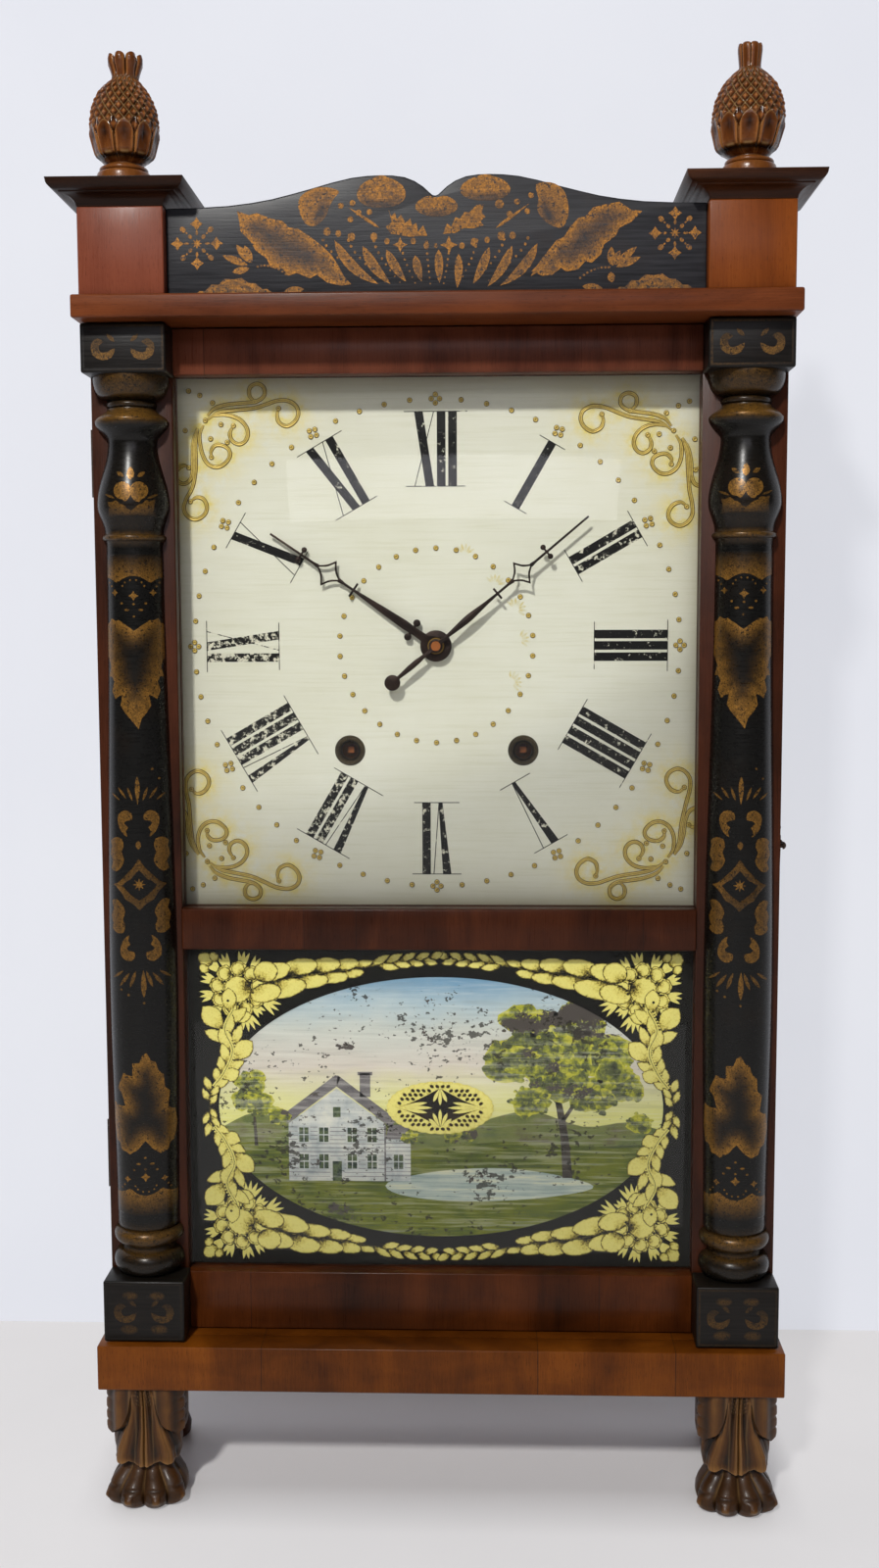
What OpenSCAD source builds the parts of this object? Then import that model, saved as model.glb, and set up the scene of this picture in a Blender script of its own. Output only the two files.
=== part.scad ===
// Column and splat shelf clock: carved and turned case, full-front door and weight-driven movement.
// Millimetres. X runs to the viewer's right, Y to the back, Z up from the floor under the feet.

/* [Case heights] */
// height of the carved feet
foot_height = 78.5; // [60:0.5:100]
// thickness of the base board
base_thickness = 28.8; // [20:0.1:40]
// thickness of the cornice board
cornice_thickness = 13.5; // [8:0.1:25]
// height of the posts that carry the finials
post_height = 50.6; // [30:0.1:80]
// thickness of the moulded caps on the posts
cap_thickness = 13.4; // [8:0.1:20]
// height of the carved finials
finial_height = 82.7; // [50:0.1:120]

/* [Case widths and depths] */
// half of the width over the case sides
case_half_width = 212.5; // [180:0.5:260]
// how far the base overhangs each case side
base_side_overhang = 3.5; // [0:0.5:15]
// how far the cornice overhangs each case side
cornice_side_overhang = 2; // [0:0.5:15]
// depth from the front of the door to the back of the case
case_depth = 92; // [85:1:140]
// how far the base stands in front of the door
base_front_overhang = 30; // [22:0.5:45]
// how far the cornice stands in front of the door
cornice_front_overhang = 38; // [25:0.5:55]
// thickness of the case sides
side_thickness = 12; // [8:0.5:20]
// thickness of the backboard
back_thickness = 6; // [4:0.5:12]
// thickness of the board under the cornice
top_board_thickness = 16; // [12:0.5:24]
// thickness of the base floor
floor_thickness = 12; // [8:0.5:20]

/* [Top ornaments] */
// width and depth of the posts
post_width = 51; // [40:0.5:70]
// distance of each post's middle from the outside of the case
post_inset = 27.8; // [20:0.1:40]
// how far the posts stand in front of the door
post_front_overhang = 34; // [20:0.5:45]
// overhang of the caps around the posts
cap_overhang = 14.7; // [8:0.1:22]
// thickness of the splat
splat_thickness = 10; // [6:0.5:15]
// how far the splat is set back from the post fronts
splat_setback = 8; // [2:0.5:20]
// height of the middle lobes of the splat
splat_lobe_height = 68.7; // [50:0.1:90]
// largest radius of the finials
finial_radius = 21.2; // [15:0.1:30]
// number of diamonds round a finial
finial_diamonds = 15; // [9:2:21]
// number of leaves round a finial
finial_leaves = 12; // [8:1:16]

/* [Door] */
// gap around the door
door_gap = 0.7; // [0.3:0.1:2]
// thickness of the door stiles
door_thickness = 16; // [12:0.5:22]
// width of the door stiles
stile_width = 55; // [40:0.5:70]
// height of the bottom rail
bottom_rail_height = 42.4; // [25:0.1:60]
// height of the tablet opening
tablet_opening_height = 207.8; // [120:0.1:260]
// height of the middle rail
mid_rail_height = 26; // [18:0.1:45]
// height of the dial opening
dial_opening_height = 325.1; // [260:0.1:380]
// height of the top rail
top_rail_height = 30.3; // [20:0.1:50]
// how far the rails stand proud of the stiles
rail_proud = 2.7; // [0:0.1:5]
// width of the rabbet that holds the glass
rabbet_width = 5; // [3:0.5:8]
// depth of the rabbet in front of the glass
glass_inset = 9; // [6:0.5:12]
// thickness of the glass
glass_thickness = 2; // [1.5:0.1:4]
// length of the rail tenons
tenon_length = 20; // [10:1:40]
// thickness of the rail tenons
tenon_thickness = 5; // [3:0.5:7]
// how far the door opens, in degrees
door_swing = 105; // [60:5:120]

/* [Columns and blocks] */
// width of the column blocks
block_width = 51.5; // [40:0.5:60]
// depth of the column blocks
block_depth = 24.5; // [15:0.5:35]
// height of the upper blocks
upper_block_height = 29.2; // [20:0.1:45]
// height of the lower blocks
lower_block_height = 39.6; // [25:0.1:60]
// distance of each column's axis from the outside of the case
column_inset = 25.3; // [22:0.1:30]
// largest radius of the columns
column_radius = 22.5; // [16:0.1:24]

/* [Dial and hands] */
// thickness of the dial board
dial_thickness = 5; // [3:0.5:8]
// distance of the dial's front behind the door's front
dial_inset = 26; // [22:0.5:32]
// height of the dial centre above the bottom of the dial opening
dial_centre_rise = 162.3; // [140:0.1:190]
// sideways offset of the dial and movement
dial_shift = -2; // [-4:0.1:4]
// length of the minute hand
minute_hand_length = 124.7; // [90:0.1:145]
// length of the hour hand
hour_hand_length = 125.9; // [70:0.1:140]
// shown time, hours
shown_hour = 10; // [0:1:11]
// shown time, minutes
shown_minute = 8.33; // [0:0.01:59.99]
// sideways distance of the winding holes from the dial centre
winding_side = 55.3; // [40:0.1:70]
// distance of the winding holes below the dial centre
winding_drop = 66.5; // [50:0.1:80]
// radius of the winding holes
winding_hole_radius = 5.5; // [4:0.1:7]

/* [Movement] */
// thickness of the movement plates
plate_thickness = 5; // [3:0.5:8]
// distance of the front plate behind the door's front
front_plate_inset = 42; // [38:0.5:48]
// space between the back plate and the backboard, where the pendulum swings
back_plate_gap = 11; // [10:0.5:20]
// radius of the winding drums
drum_radius = 16; // [10:0.5:20]
// teeth of the great wheel
great_teeth = 52; // [40:1:60]
// leaves of the second pinion
second_leaves = 8; // [8:1:12]
// teeth of the second wheel
second_teeth = 24; // [18:1:30]
// leaves of the centre pinion
centre_leaves = 18; // [12:1:24]
// teeth of the centre and third wheels
train_teeth = 36; // [30:1:48]
// leaves of the third and escape pinions
train_leaves = 12; // [8:1:12]
// teeth of the cannon pinion
cannon_teeth = 12; // [10:1:16]
// teeth of the minute wheel
minute_wheel_teeth = 36; // [30:1:48]
// leaves of the minute pinion
minute_pinion_leaves = 10; // [8:1:12]
// teeth of the hour wheel
hour_wheel_teeth = 40; // [32:1:48]
// teeth of the escape wheel
escape_teeth = 30; // [20:1:42]
// radius of the escape wheel
escape_radius = 20; // [15:0.5:24]
// height of the escape wheel above the dial centre
escape_rise = 62; // [50:0.5:66]
// running clearance of arbors and pins, on the radius
running_clearance = 0.05; // [0.02:0.01:0.1]

/* [Pendulum, strike and weights] */
// height of the pendulum pivot above the escape wheel
pivot_rise = 27; // [24:0.5:32]
// length of the pendulum from pivot to bob centre
pendulum_length = 381; // [300:1:420]
// radius of the pendulum bob
bob_radius = 27; // [18:0.5:32]
// thickness of the pendulum bob
bob_thickness = 10; // [6:0.5:11]
// radius of the bell
bell_radius = 30; // [20:0.5:36]
// width and depth of the weights
weight_width = 32; // [24:0.5:34]
// height of the weights
weight_height = 140; // [80:1:180]
// radius of the weight cords
cord_radius = 0.8; // [0.5:0.1:1.2]
// radius of the cord groove in the pulleys
pulley_groove_radius = 8.7; // [6:0.1:10]
// distance of each pulley's axle from the inside of the case
pulley_inset = 27.5; // [26:0.5:40]

/* [Hidden] */
round_steps = 96;
clearance = 0.3;
// front of the door stiles in the frame that has its origin under the middle of the clock
cap_front_overhang = post_front_overhang + cap_overhang;
door_face_y = -(case_depth - cap_front_overhang) / 2;
// heights above the floor
base_top = foot_height + base_thickness;
door_bottom = base_top + door_gap;
bottom_rail_top = door_bottom + bottom_rail_height;
mid_rail_bottom = bottom_rail_top + tablet_opening_height;
mid_rail_top = mid_rail_bottom + mid_rail_height;
top_rail_bottom = mid_rail_top + dial_opening_height;
door_top = top_rail_bottom + top_rail_height;
cornice_bottom = door_top + door_gap;
cornice_top = cornice_bottom + cornice_thickness;
post_top = cornice_top + post_height;
cap_top = post_top + cap_thickness;
// depths behind the door's front
case_front = door_thickness + 0.5;
back_inside = case_depth - back_thickness;
side_inside = case_half_width - side_thickness;
opening_half_width = case_half_width - stile_width;
post_centre = case_half_width - post_inset;
column_centre = case_half_width - column_inset;
pulley_centre = side_inside - pulley_inset;
base_half_width = case_half_width + base_side_overhang;
base_board_depth = 20;
// dial and movement centre
dial_x = dial_shift;
dial_z = mid_rail_top + dial_centre_rise;
dial_bottom = mid_rail_bottom + 20;
dial_top = top_rail_bottom + 7;
front_plate_back = front_plate_inset + plate_thickness;
back_plate_back = back_inside - back_plate_gap;
back_plate_inset = back_plate_back - plate_thickness;
pivot_z = dial_z + escape_rise + pivot_rise;
minute_angle = shown_minute * 6;
hour_angle = (shown_hour + shown_minute / 60) * 30;
// gear modules, so that both meshes of a pair of arbors share one centre distance
great_module = 1.8;
second_module = 1.6;
train_module = 1.4;
cannon_module = 1.25;
hour_module = cannon_module * (cannon_teeth + minute_wheel_teeth) / (minute_pinion_leaves + hour_wheel_teeth);
great_distance = great_module * (great_teeth + second_leaves) / 2;
second_distance = second_module * (second_teeth + centre_leaves) / 2;
train_distance = train_module * (train_teeth + train_leaves) / 2;
motion_distance = cannon_module * (cannon_teeth + minute_wheel_teeth) / 2;
// second arbor: crossing of the circles round the winding arbor and the centre arbor
winding_distance = norm([winding_side, winding_drop]);
winding_direction = atan2(-winding_drop, winding_side);
second_spread = acos((second_distance * second_distance + winding_distance * winding_distance
    - great_distance * great_distance) / (2 * second_distance * winding_distance));
second_direction = winding_direction + second_spread;
second_at = [second_distance * cos(second_direction), second_distance * sin(second_direction)];
winding_at = [winding_side, -winding_drop];
// third arbor: the same distance from the centre arbor as from the escape arbor
escape_at = [0, escape_rise];
third_at = [-sqrt(train_distance * train_distance - escape_rise * escape_rise / 4), escape_rise / 2];
minute_wheel_at = [0, motion_distance];
// layers of the train behind the door's front, as shares of the space between the plates
plate_space = back_plate_inset - front_plate_back;
function layer(from, to) = [front_plate_back + plate_space * from, front_plate_back + plate_space * to];
great_layer = layer(0.065, 0.24);
second_layer = layer(0.305, 0.455);
centre_layer = layer(0.52, 0.65);
third_layer = layer(0.74, 0.87);
cord_depth = front_plate_back + plate_space * 14 / 23;
drum_half_length = plate_space * 5 / 23;
flange_thickness = plate_space * 1.5 / 23;
arbor_radius = 2;
centre_arbor_radius = 3;
hour_pipe_radius = 5.2;
// weights, pulleys and cords
pulley_z = cornice_bottom - top_board_thickness + 4.7;
pulley_axle_radius = 1.2;
pulley_cord_radius = pulley_groove_radius + clearance + cord_radius;
drum_cord_radius = drum_radius + clearance + cord_radius;
pulley_rim_radius = pulley_groove_radius + 1.8;
weight_x = pulley_centre + pulley_cord_radius;
weight_bottom = base_top + clearance;
weight_top = weight_bottom + weight_height;
cord_bottom = weight_top + 11;
// pendulum
pendulum_depth = back_plate_back + 4.7;
bob_z = pivot_z - pendulum_length;
pivot_pin_radius = 1.2;
// latch on the right side of the case
latch_z = 421;
latch_pivot_depth = 20.5;
latch_reach = 8.5;
latch_plate = [case_half_width + 0.9, case_half_width + 3.3];
latch_stud_radius = 1.5;
// hinges on the left side
hinge_axis_x = -case_half_width - 2.5;
hinge_axis_depth = door_thickness + 0.25;
hinge_heights = [200, 640];
hinge_length = 40;
hinge_knuckle_radius = 2.1;
hinge_pin_radius = 1;
// carved feet
foot_centre_x = base_half_width - 27.5;
rear_foot_x = base_half_width - 26;
rear_foot_depth = case_depth - 24;
foot_centre_depth = -10;

// Box between two X values, two depths behind the door's front and two heights.
module block(x, d, z) {
    translate([x[0], door_face_y + d[0], z[0]]) cube([x[1] - x[0], d[1] - d[0], z[1] - z[0]]);
}

// Outline in X and Z, extruded between two depths.
module plate(d) {
    translate([0, door_face_y + d[1], 0]) rotate([90, 0, 0]) linear_extrude(d[1] - d[0]) children();
}

// Cylinder along the depth.
module rod(x, z, d, r) {
    translate([x, door_face_y + d[0], z]) rotate([-90, 0, 0]) cylinder(h = d[1] - d[0], r = r, $fn = round_steps);
}

// Cylinder along X.
module cross_rod(x, depth, z, r) {
    translate([x[0], door_face_y + depth, z]) rotate([0, 90, 0]) cylinder(h = x[1] - x[0], r = r, $fn = round_steps);
}

// Vertical cylinder.
module post_rod(x, depth, z, r) {
    translate([x, door_face_y + depth, z[0]]) cylinder(h = z[1] - z[0], r = r, $fn = round_steps);
}

// Both sides of the clock: the children and their mirror image.
module both_sides() {
    children();
    mirror([1, 0, 0]) children();
}

// Closed surface through rings of points; each ring has the same number of points.
// The diagonals of the patches change direction from patch to patch, so that carved grooves can run both ways.
module loft(rings) {
    n = len(rings[0]);
    last = (len(rings) - 1) * n;
    points = [for (ring = rings) for (p = ring) p];
    walls = [for (j = [0:len(rings) - 2]) for (i = [0:n - 1])
        let (k = (i + 1) % n, a = j * n + i, b = a + n, c = j * n + n + k, d = j * n + k)
        each ((i + j) % 2 == 0 ? [[a, b, c], [a, c, d]] : [[a, b, d], [b, c, d]])];
    bottom = [for (i = [0:n - 1]) i];
    top = [for (i = [n - 1:-1:0]) last + i];
    polyhedron(points = points, faces = concat(walls, [bottom, top]));
}

// Smooth step from one radius to the next along a turned profile.
function eased(a, b, steps) = [for (i = [0:steps - 1]) let (t = i / steps)
    [a[0] + (b[0] - a[0]) * (1 - cos(180 * t)) / 2, a[1] + (b[1] - a[1]) * t]];
// Half-round bead between two heights on a radius.
function bead(r, z0, z1, bulge, steps) = [for (i = [0:steps]) let (a = 180 * i / steps)
    [r + bulge * sin(a), (z0 + z1) / 2 + (z1 - z0) / 2 * -cos(a)]];

// Gears.
function tooth_points(teeth, size, turn) = [for (i = [0:teeth - 1]) let (pitch = 360 / teeth,
    c = turn + i * pitch, root = size * (teeth / 2 - 1.2), tip = size * (teeth / 2 + 0.9))
    each [[root * cos(c - 0.27 * pitch), root * sin(c - 0.27 * pitch)],
        [tip * cos(c - 0.1 * pitch), tip * sin(c - 0.1 * pitch)],
        [tip * cos(c + 0.1 * pitch), tip * sin(c + 0.1 * pitch)],
        [root * cos(c + 0.27 * pitch), root * sin(c + 0.27 * pitch)]]];

module gear(at, layer, teeth, size, turn) {
    plate(layer) translate([dial_x + at[0], dial_z + at[1]]) polygon(tooth_points(teeth, size, turn));
}

// Wheel with crossings sawn out between spokes.
module spoked_gear(at, layer, teeth, size, turn, spokes) {
    rim = size * (teeth / 2 - 1.2) - 3.5;
    plate(layer) translate([dial_x + at[0], dial_z + at[1]]) difference() {
        polygon(tooth_points(teeth, size, turn));
        for (i = [0:spokes - 1]) rotate((i + 0.5) * 360 / spokes)
            translate([(rim + 8) / 2, 0]) circle(r = (rim - 8) / 2 * 0.78, $fn = round_steps);
    }
}

// Direction from one arbor to another, seen from the front.
function direction(a, b) = atan2(b[1] - a[1], b[0] - a[0]);

module arbor(at, d, r) {
    rod(dial_x + at[0], dial_z + at[1], d, r);
}

// Base and case.
module base_front() {
    color("sienna") block([-base_half_width, base_half_width],
        [-base_front_overhang, base_board_depth - base_front_overhang], [foot_height, base_top]);
}

module base_returns() {
    color("sienna") both_sides() block([base_half_width - base_board_depth, base_half_width],
        [base_board_depth - base_front_overhang, case_depth], [foot_height, base_top]);
}

module base_floor() {
    inner = base_half_width - base_board_depth;
    color("tan") block([-inner, inner], [base_board_depth - base_front_overhang, case_depth],
        [base_top - floor_thickness, base_top]);
}

module side_board() {
    block([side_inside, case_half_width], [case_front, case_depth], [base_top, cornice_bottom]);
}

module left_side() {
    color("saddlebrown") mirror([1, 0, 0]) side_board();
}

module right_side() {
    color("saddlebrown") difference() {
        side_board();
        cross_rod([case_half_width - 7, case_half_width + 1], latch_pivot_depth, latch_z,
            latch_stud_radius + running_clearance);
    }
}

module backboard() {
    color("burlywood") difference() {
        block([-side_inside, side_inside], [back_inside, case_depth], [base_top, cornice_bottom]);
        arbor(bell_at, [back_inside - 1, case_depth + 1], bell_stud_radius);
        arbor(hammer_at, [back_inside - 1, case_depth + 1], hammer_stud_radius);
    }
}

module top_board() {
    bottom = cornice_bottom - top_board_thickness;
    // room beside each pulley for the cord that slants up to it
    lead_room = 6;
    color("burlywood") difference() {
        block([-side_inside, side_inside], [case_front, back_inside], [bottom, cornice_bottom]);
        both_sides() {
            block([pulley_centre - pulley_rim_radius - lead_room, pulley_centre + pulley_rim_radius + 1.5],
                [cord_depth - 4, cord_depth + 4], [bottom - 1, cornice_bottom + 1]);
            rod(pulley_centre, pulley_z, [cord_depth - 9, cord_depth + 9], pulley_axle_radius + running_clearance);
        }
    }
}

module cornice() {
    half = case_half_width + cornice_side_overhang;
    color("sienna") block([-half, half], [-cornice_front_overhang, case_depth], [cornice_bottom, cornice_top]);
}

module posts() {
    color("indianred") both_sides() block([post_centre - post_width / 2, post_centre + post_width / 2],
        [-post_front_overhang, post_width - post_front_overhang], [cornice_top, post_top]);
}

// Half outline of a cap: cavetto below, then ovolo and a thin fascia.
function cap_outline() = let (h = post_width / 2, o = cap_overhang, cove = 0.57 * o, round_part = 0.41 * o)
    concat([[0, 0], [h, 0]],
        [for (i = [0:6]) let (a = 15 * i) [h + cove * (1 - cos(a)), 6.4 * sin(a)]],
        [[h + cove, 7]],
        [for (i = [0:6]) let (a = 15 * i) [h + cove + round_part * sin(a), 12 - 5 * cos(a)]],
        [[h + o, cap_thickness], [0, cap_thickness]]);

module cap_profile() {
    polygon(cap_outline());
    mirror([1, 0]) polygon(cap_outline());
}

module caps() {
    reach = post_width + 2 * cap_overhang + 2;
    middle = door_face_y - post_front_overhang + post_width / 2;
    color("sienna") both_sides() translate([post_centre, middle, post_top]) intersection() {
        translate([0, reach / 2, 0]) rotate([90, 0, 0]) linear_extrude(reach) cap_profile();
        translate([-reach / 2, 0, 0]) rotate([90, 0, 90]) linear_extrude(reach) cap_profile();
    }
}

// Half outline of the splat from the notch outwards: distance from the middle and height.
splat_half = [[0, 56.5], [2, 57.5], [7, 62], [12, 65.2], [18, 67.5], [25, 68.5], [32, 68.7], [40, 68.4],
    [49, 67.4], [60, 65], [74, 61.2], [85, 58.4], [96, 55.8], [108, 53.8], [122, 52.2], [143, 51.2]];

module splat() {
    front = splat_setback - post_front_overhang;
    end = post_centre - post_width / 2;
    rise = splat_lobe_height / 68.7;
    half = concat([for (p = splat_half) [p[0], p[1] * rise]], [[end, 51 * rise], [end, 0]]);
    other = [for (i = [len(half) - 1:-1:1]) [-half[i][0], half[i][1]]];
    color("dimgray") plate([front, front + splat_thickness]) translate([0, cornice_top])
        polygon(concat(half, other));
}

module both_halves() {
    children();
    mirror([1, 0]) children();
}

// Carved finials.
function lerp(keys, z, i = 0) = z <= keys[i][0] ? keys[i][1] :
    i >= len(keys) - 1 ? keys[i][1] :
    z > keys[i + 1][0] ? lerp(keys, z, i + 1) :
    keys[i][1] + (keys[i + 1][1] - keys[i][1]) * (z - keys[i][0]) / (keys[i + 1][0] - keys[i][0]);

// Plain body radius against height for a finial 82.7 high with a radius of 21.2.
body_keys = [[15, 12.5], [16.5, 15.2], [20, 17.8], [25, 19.9], [31, 20.9], [36, 21.2], [42, 20.4], [48, 18.5],
    [54, 15.6], [60, 12], [65, 8.8]];
flared_crown = [[66, 7.8], [70, 8], [75, 9.4], [79, 10.9], [81, 11.4], [82.7, 10.6]];
stub_crown = [[66, 7.2], [70, 6.7], [75, 6.8], [79, 7.3], [81, 7.5], [82.7, 7.2]];
lattice_start = 28;
lattice_step = 2.1;
body_levels = concat([15, 16.5, 18.5, 21, 23.5, 26], [for (j = [0:17]) lattice_start + lattice_step * j]);
crown_levels = [66, 68.5, 72, 75.5, 79, 81.3, 82.7];

// Distance from the middle of a leaf, 0 to 1.
function off_leaf(a) = let (p = 360 / finial_leaves) abs((a + 360 + p / 2) % p - p / 2) / (p / 2);
function leaf_tip(a) = 41.5 - 10.5 * pow(off_leaf(a), 2);
function leaf_relief(a) = let (u = off_leaf(a)) u > 0.9 ? -1.3 : 1.25 - 0.9 * u * u - (u < 0.1 ? 0.6 : 0);
function diamond_relief(a, z) = let (u = finial_diamonds / 2 * (a - 3), s = 45 * (z - lattice_start) / lattice_step)
    2.3 * min(abs(sin(u + s)), abs(sin(u - s))) - 1;

function body_point(a, z) = let (grow = finial_radius / 21.2, plain = lerp(body_keys, z),
    fade = min(1, (67 - z) / 10),
    r = plain + (z < leaf_tip(a) ? leaf_relief(a) * min(1, (z - 14) / 5) : diamond_relief(a, z) * fade))
    [r * grow * sin(a), -r * grow * cos(a), z * finial_height / 82.7];

// Petals of the crown part at the front, as on the body's far side.
function crown_point(a, z, keys, petals) = let (petal = abs(sin(5 * (a - 3))),
    r = lerp(keys, z) * (1 + petals * (petal - 0.7)), dip = z > 80 ? 20 * petals * (1 - petal) : 0)
    [r * sin(a), -r * cos(a), (z - dip) * finial_height / 82.7];

module finial(side, keys, petals) {
    columns = 4 * finial_diamonds;
    angles = [for (i = [0:columns - 1]) 3 + i * 360 / columns];
    lip = 0.5 * lerp(keys, 81);
    rings = concat([for (z = body_levels) [for (a = angles) body_point(a, z)]],
        [for (z = crown_levels) [for (a = angles) crown_point(a, z, keys, z > 67 ? petals : 0)]],
        [[for (a = angles) [lip * sin(a), -lip * cos(a), 76.5 * finial_height / 82.7]]]);
    foot = concat([[0, 0], [15.4, 0]], bead(15.2, 0.4, 7, 0.9, 8), [[11, 7.4]], bead(9.6, 8, 12.4, 1.1, 8),
        [[8.2, 13], [8.2, 15.2], [0, 15.2]]);
    translate([side * post_centre, door_face_y - post_front_overhang + post_width / 2, cap_top]) {
        loft(rings);
        rotate_extrude($fn = round_steps) polygon(foot);
    }
}

module left_finial() {
    color("peru") finial(-1, flared_crown, 0.2);
}

module right_finial() {
    color("peru") finial(1, stub_crown, 0.05);
}

// Carved paw feet.
// Half width, reach to the front and reach to the back against height, for a foot 78.5 high:
// first the paw, then the lower leaf that hangs over it, then the upper leaves at the sides.
paw_keys = [[0, 20.5, 18.5, 18], [2.5, 24, 22, 19.5], [6, 25.4, 23.6, 20], [10, 25.2, 22.8, 19.6],
    [14, 23.6, 19.8, 19], [18, 20.6, 15.8, 18.2], [22, 17.8, 12.6, 17.4], [26, 16.4, 11, 17], [30, 16, 10.8, 17]];
leaf_keys = [[24, 19, 14.6, 18], [30, 19.4, 15.2, 18], [40, 18, 14.4, 19], [50, 18.6, 14.2, 21],
    [64, 20.5, 14.8, 23], [74, 22, 16.6, 24], [78.5, 22.5, 17.5, 24]];
lobe_keys = [[44, 24, 17.6, 21.5], [50, 25, 18.6, 22.5], [62, 25, 18.8, 23.5], [74, 24.8, 18.6, 24.5],
    [78.5, 24.2, 18.2, 24.5]];
paw_angles = concat([for (a = [-80:5:80]) a], [for (a = [95:17:265]) a]);
toe_depth = [[0, 4.6], [8, 5.4], [16, 3.6], [26, 1.8], [30, 1.6]];

// Lower edge of the leaf over the paw: one wide scallop in front and smaller ones at the sides.
function leaf_edge(a) = let (u = abs(a)) u > 93 ? 28 :
    u < 33 ? 29.5 - 3.8 * cos(90 * u / 33) : 29.5 - 2.6 * abs(sin(6 * (u - 33)));
// Lower edge of the upper leaves, which part in the middle of the front.
function lobe_edge(a) = let (u = abs(a))
    lerp([[0, 77], [18, 77], [24, 72], [28, 62], [36, 54], [48, 48.5], [62, 46], [80, 47], [300, 47]], u)
    + (u > 40 && u < 80 ? 1.4 * abs(sin(9 * u)) : 0);

function keyed(keys, z, i) = lerp([for (k = keys) [k[0], k[i]]], z);
function oval(keys, a, z) = let (w = keyed(keys, z, 1), reach = keyed(keys, z, cos(a) > 0 ? 2 : 3), n = 2.9)
    1 / pow(pow(abs(sin(a)) / w, n) + pow(abs(cos(a)) / reach, n), 1 / n);
function carved(a) = abs(a) <= 80 ? 1 : 0;

// Point of the foot in one of its three layers, a share t of the way up that layer.
function paw_point(layer, t, a) = let (
    low = layer == 0 ? 0 : layer == 1 ? leaf_edge(a) : lobe_edge(a),
    high = layer == 0 ? leaf_edge(a) - 0.2 : layer == 1 ? lobe_edge(a) - 0.2 : 78.5,
    z = low + (high - low) * t,
    parted = layer == 2 ? min(1, max(0, (abs(a) - 18) / 6)) : 0,
    toes = (pow(abs(sin(4.5 * a)), 0.7) - 0.72) * lerp(toe_depth, z),
    ribs = 0.8 * cos(9 * a) - 1.6 * max(0, 1 - abs(a) / 7),
    veins = 0.8 * cos(12 * (abs(a) - 42)),
    r = layer == 0 ? oval(paw_keys, a, z) + carved(a) * toes :
        layer == 1 ? oval(leaf_keys, a, z) + carved(a) * ribs :
        oval(leaf_keys, a, z) * (1 - parted) + (oval(lobe_keys, a, z) + carved(a) * veins) * parted)
    [r * sin(a), -r * cos(a), z * foot_height / 78.5];

module paw_foot() {
    steps = [[0, 0.09, 0.22, 0.36, 0.5, 0.64, 0.8, 1], [0, 0.1, 0.3, 0.55, 0.8, 1], [0, 0.1, 0.3, 0.55, 0.8, 1]];
    translate([foot_centre_x, door_face_y + foot_centre_depth, 0])
        loft([for (layer = [0:2]) for (t = steps[layer]) [for (a = paw_angles) paw_point(layer, t, a)]]);
}

module left_paw_foot() {
    color("chocolate") mirror([1, 0, 0]) paw_foot();
}

module right_paw_foot() {
    color("chocolate") paw_foot();
}

module rear_feet() {
    outline = [[0, 0], [12, 0], [13.5, 2], [14, 8], [12, 14], [10.5, 20], [11.5, 34], [15, 52], [17.5, 60], [17.5, 64],
        [15.5, 66], [15.5, 69], [18.5, 70.5], [18.5, foot_height], [0, foot_height]];
    color("sienna") both_sides() translate([rear_foot_x, door_face_y + rear_foot_depth, 0])
        rotate_extrude($fn = round_steps) polygon(outline);
}

// Dial.
module dial_board() {
    color("ivory") difference() {
        block([-side_inside, side_inside], [dial_inset, dial_inset + dial_thickness], [dial_bottom, dial_top]);
        arbor([0, 0], [dial_inset - 1, dial_inset + dial_thickness + 1], hour_pipe_radius + 1.8);
        for (side = [-1, 1]) arbor([side * winding_side, -winding_drop],
            [dial_inset - 1, dial_inset + dial_thickness + 1], winding_hole_radius + 2);
    }
}

module winding_collets() {
    profile = [[winding_hole_radius, 0], [winding_hole_radius + 1.4, -1.6], [winding_hole_radius + 3, -1.8],
        [winding_hole_radius + 4.25, 0], [winding_hole_radius + 2, 0],
        [winding_hole_radius + 2, dial_thickness], [winding_hole_radius, dial_thickness]];
    color("darkkhaki") for (side = [-1, 1])
        translate([dial_x + side * winding_side, door_face_y + dial_inset, dial_z - winding_drop])
            rotate([-90, 0, 0]) rotate_extrude($fn = round_steps) polygon(profile);
}

// Movement.
plate_half_width = 106;
plate_low = -118;
plate_high = 104;
pillar_at = [[-98, -110], [98, -110], [-98, 96], [98, 96]];
bell_x = -70;
bell_drop = -156;
bell_stud_radius = 2.5;
hammer_at = [bell_x - bell_radius - 7, bell_drop + 31];
hammer_stud_radius = 1.8;

module plate_blank(d) {
    block([dial_x - plate_half_width, dial_x + plate_half_width], d, [dial_z + plate_low, dial_z + plate_high]);
}

module arbor_hole(at, d, r) {
    arbor(at, [d[0] - 1, d[1] + 1], r + running_clearance);
}

module shared_holes(d) {
    arbor_hole(winding_at, d, centre_arbor_radius);
    arbor_hole([-winding_at[0], winding_at[1]], d, centre_arbor_radius);
    arbor_hole(second_at, d, arbor_radius);
    arbor_hole(third_at, d, arbor_radius);
    arbor_hole(escape_at, d, arbor_radius);
    arbor_hole([0, escape_rise + pivot_rise], d, arbor_radius);
}

module front_plate() {
    d = [front_plate_inset, front_plate_back];
    color("tan") difference() {
        union() {
            plate_blank(d);
            arbor(minute_wheel_at, [dial_inset + dial_thickness + 1.5, front_plate_inset + 1], 1.5);
        }
        shared_holes(d);
        arbor_hole([0, 0], d, centre_arbor_radius);
        for (at = pillar_at) arbor_hole(at, d, 3.5 - running_clearance);
    }
}

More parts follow.
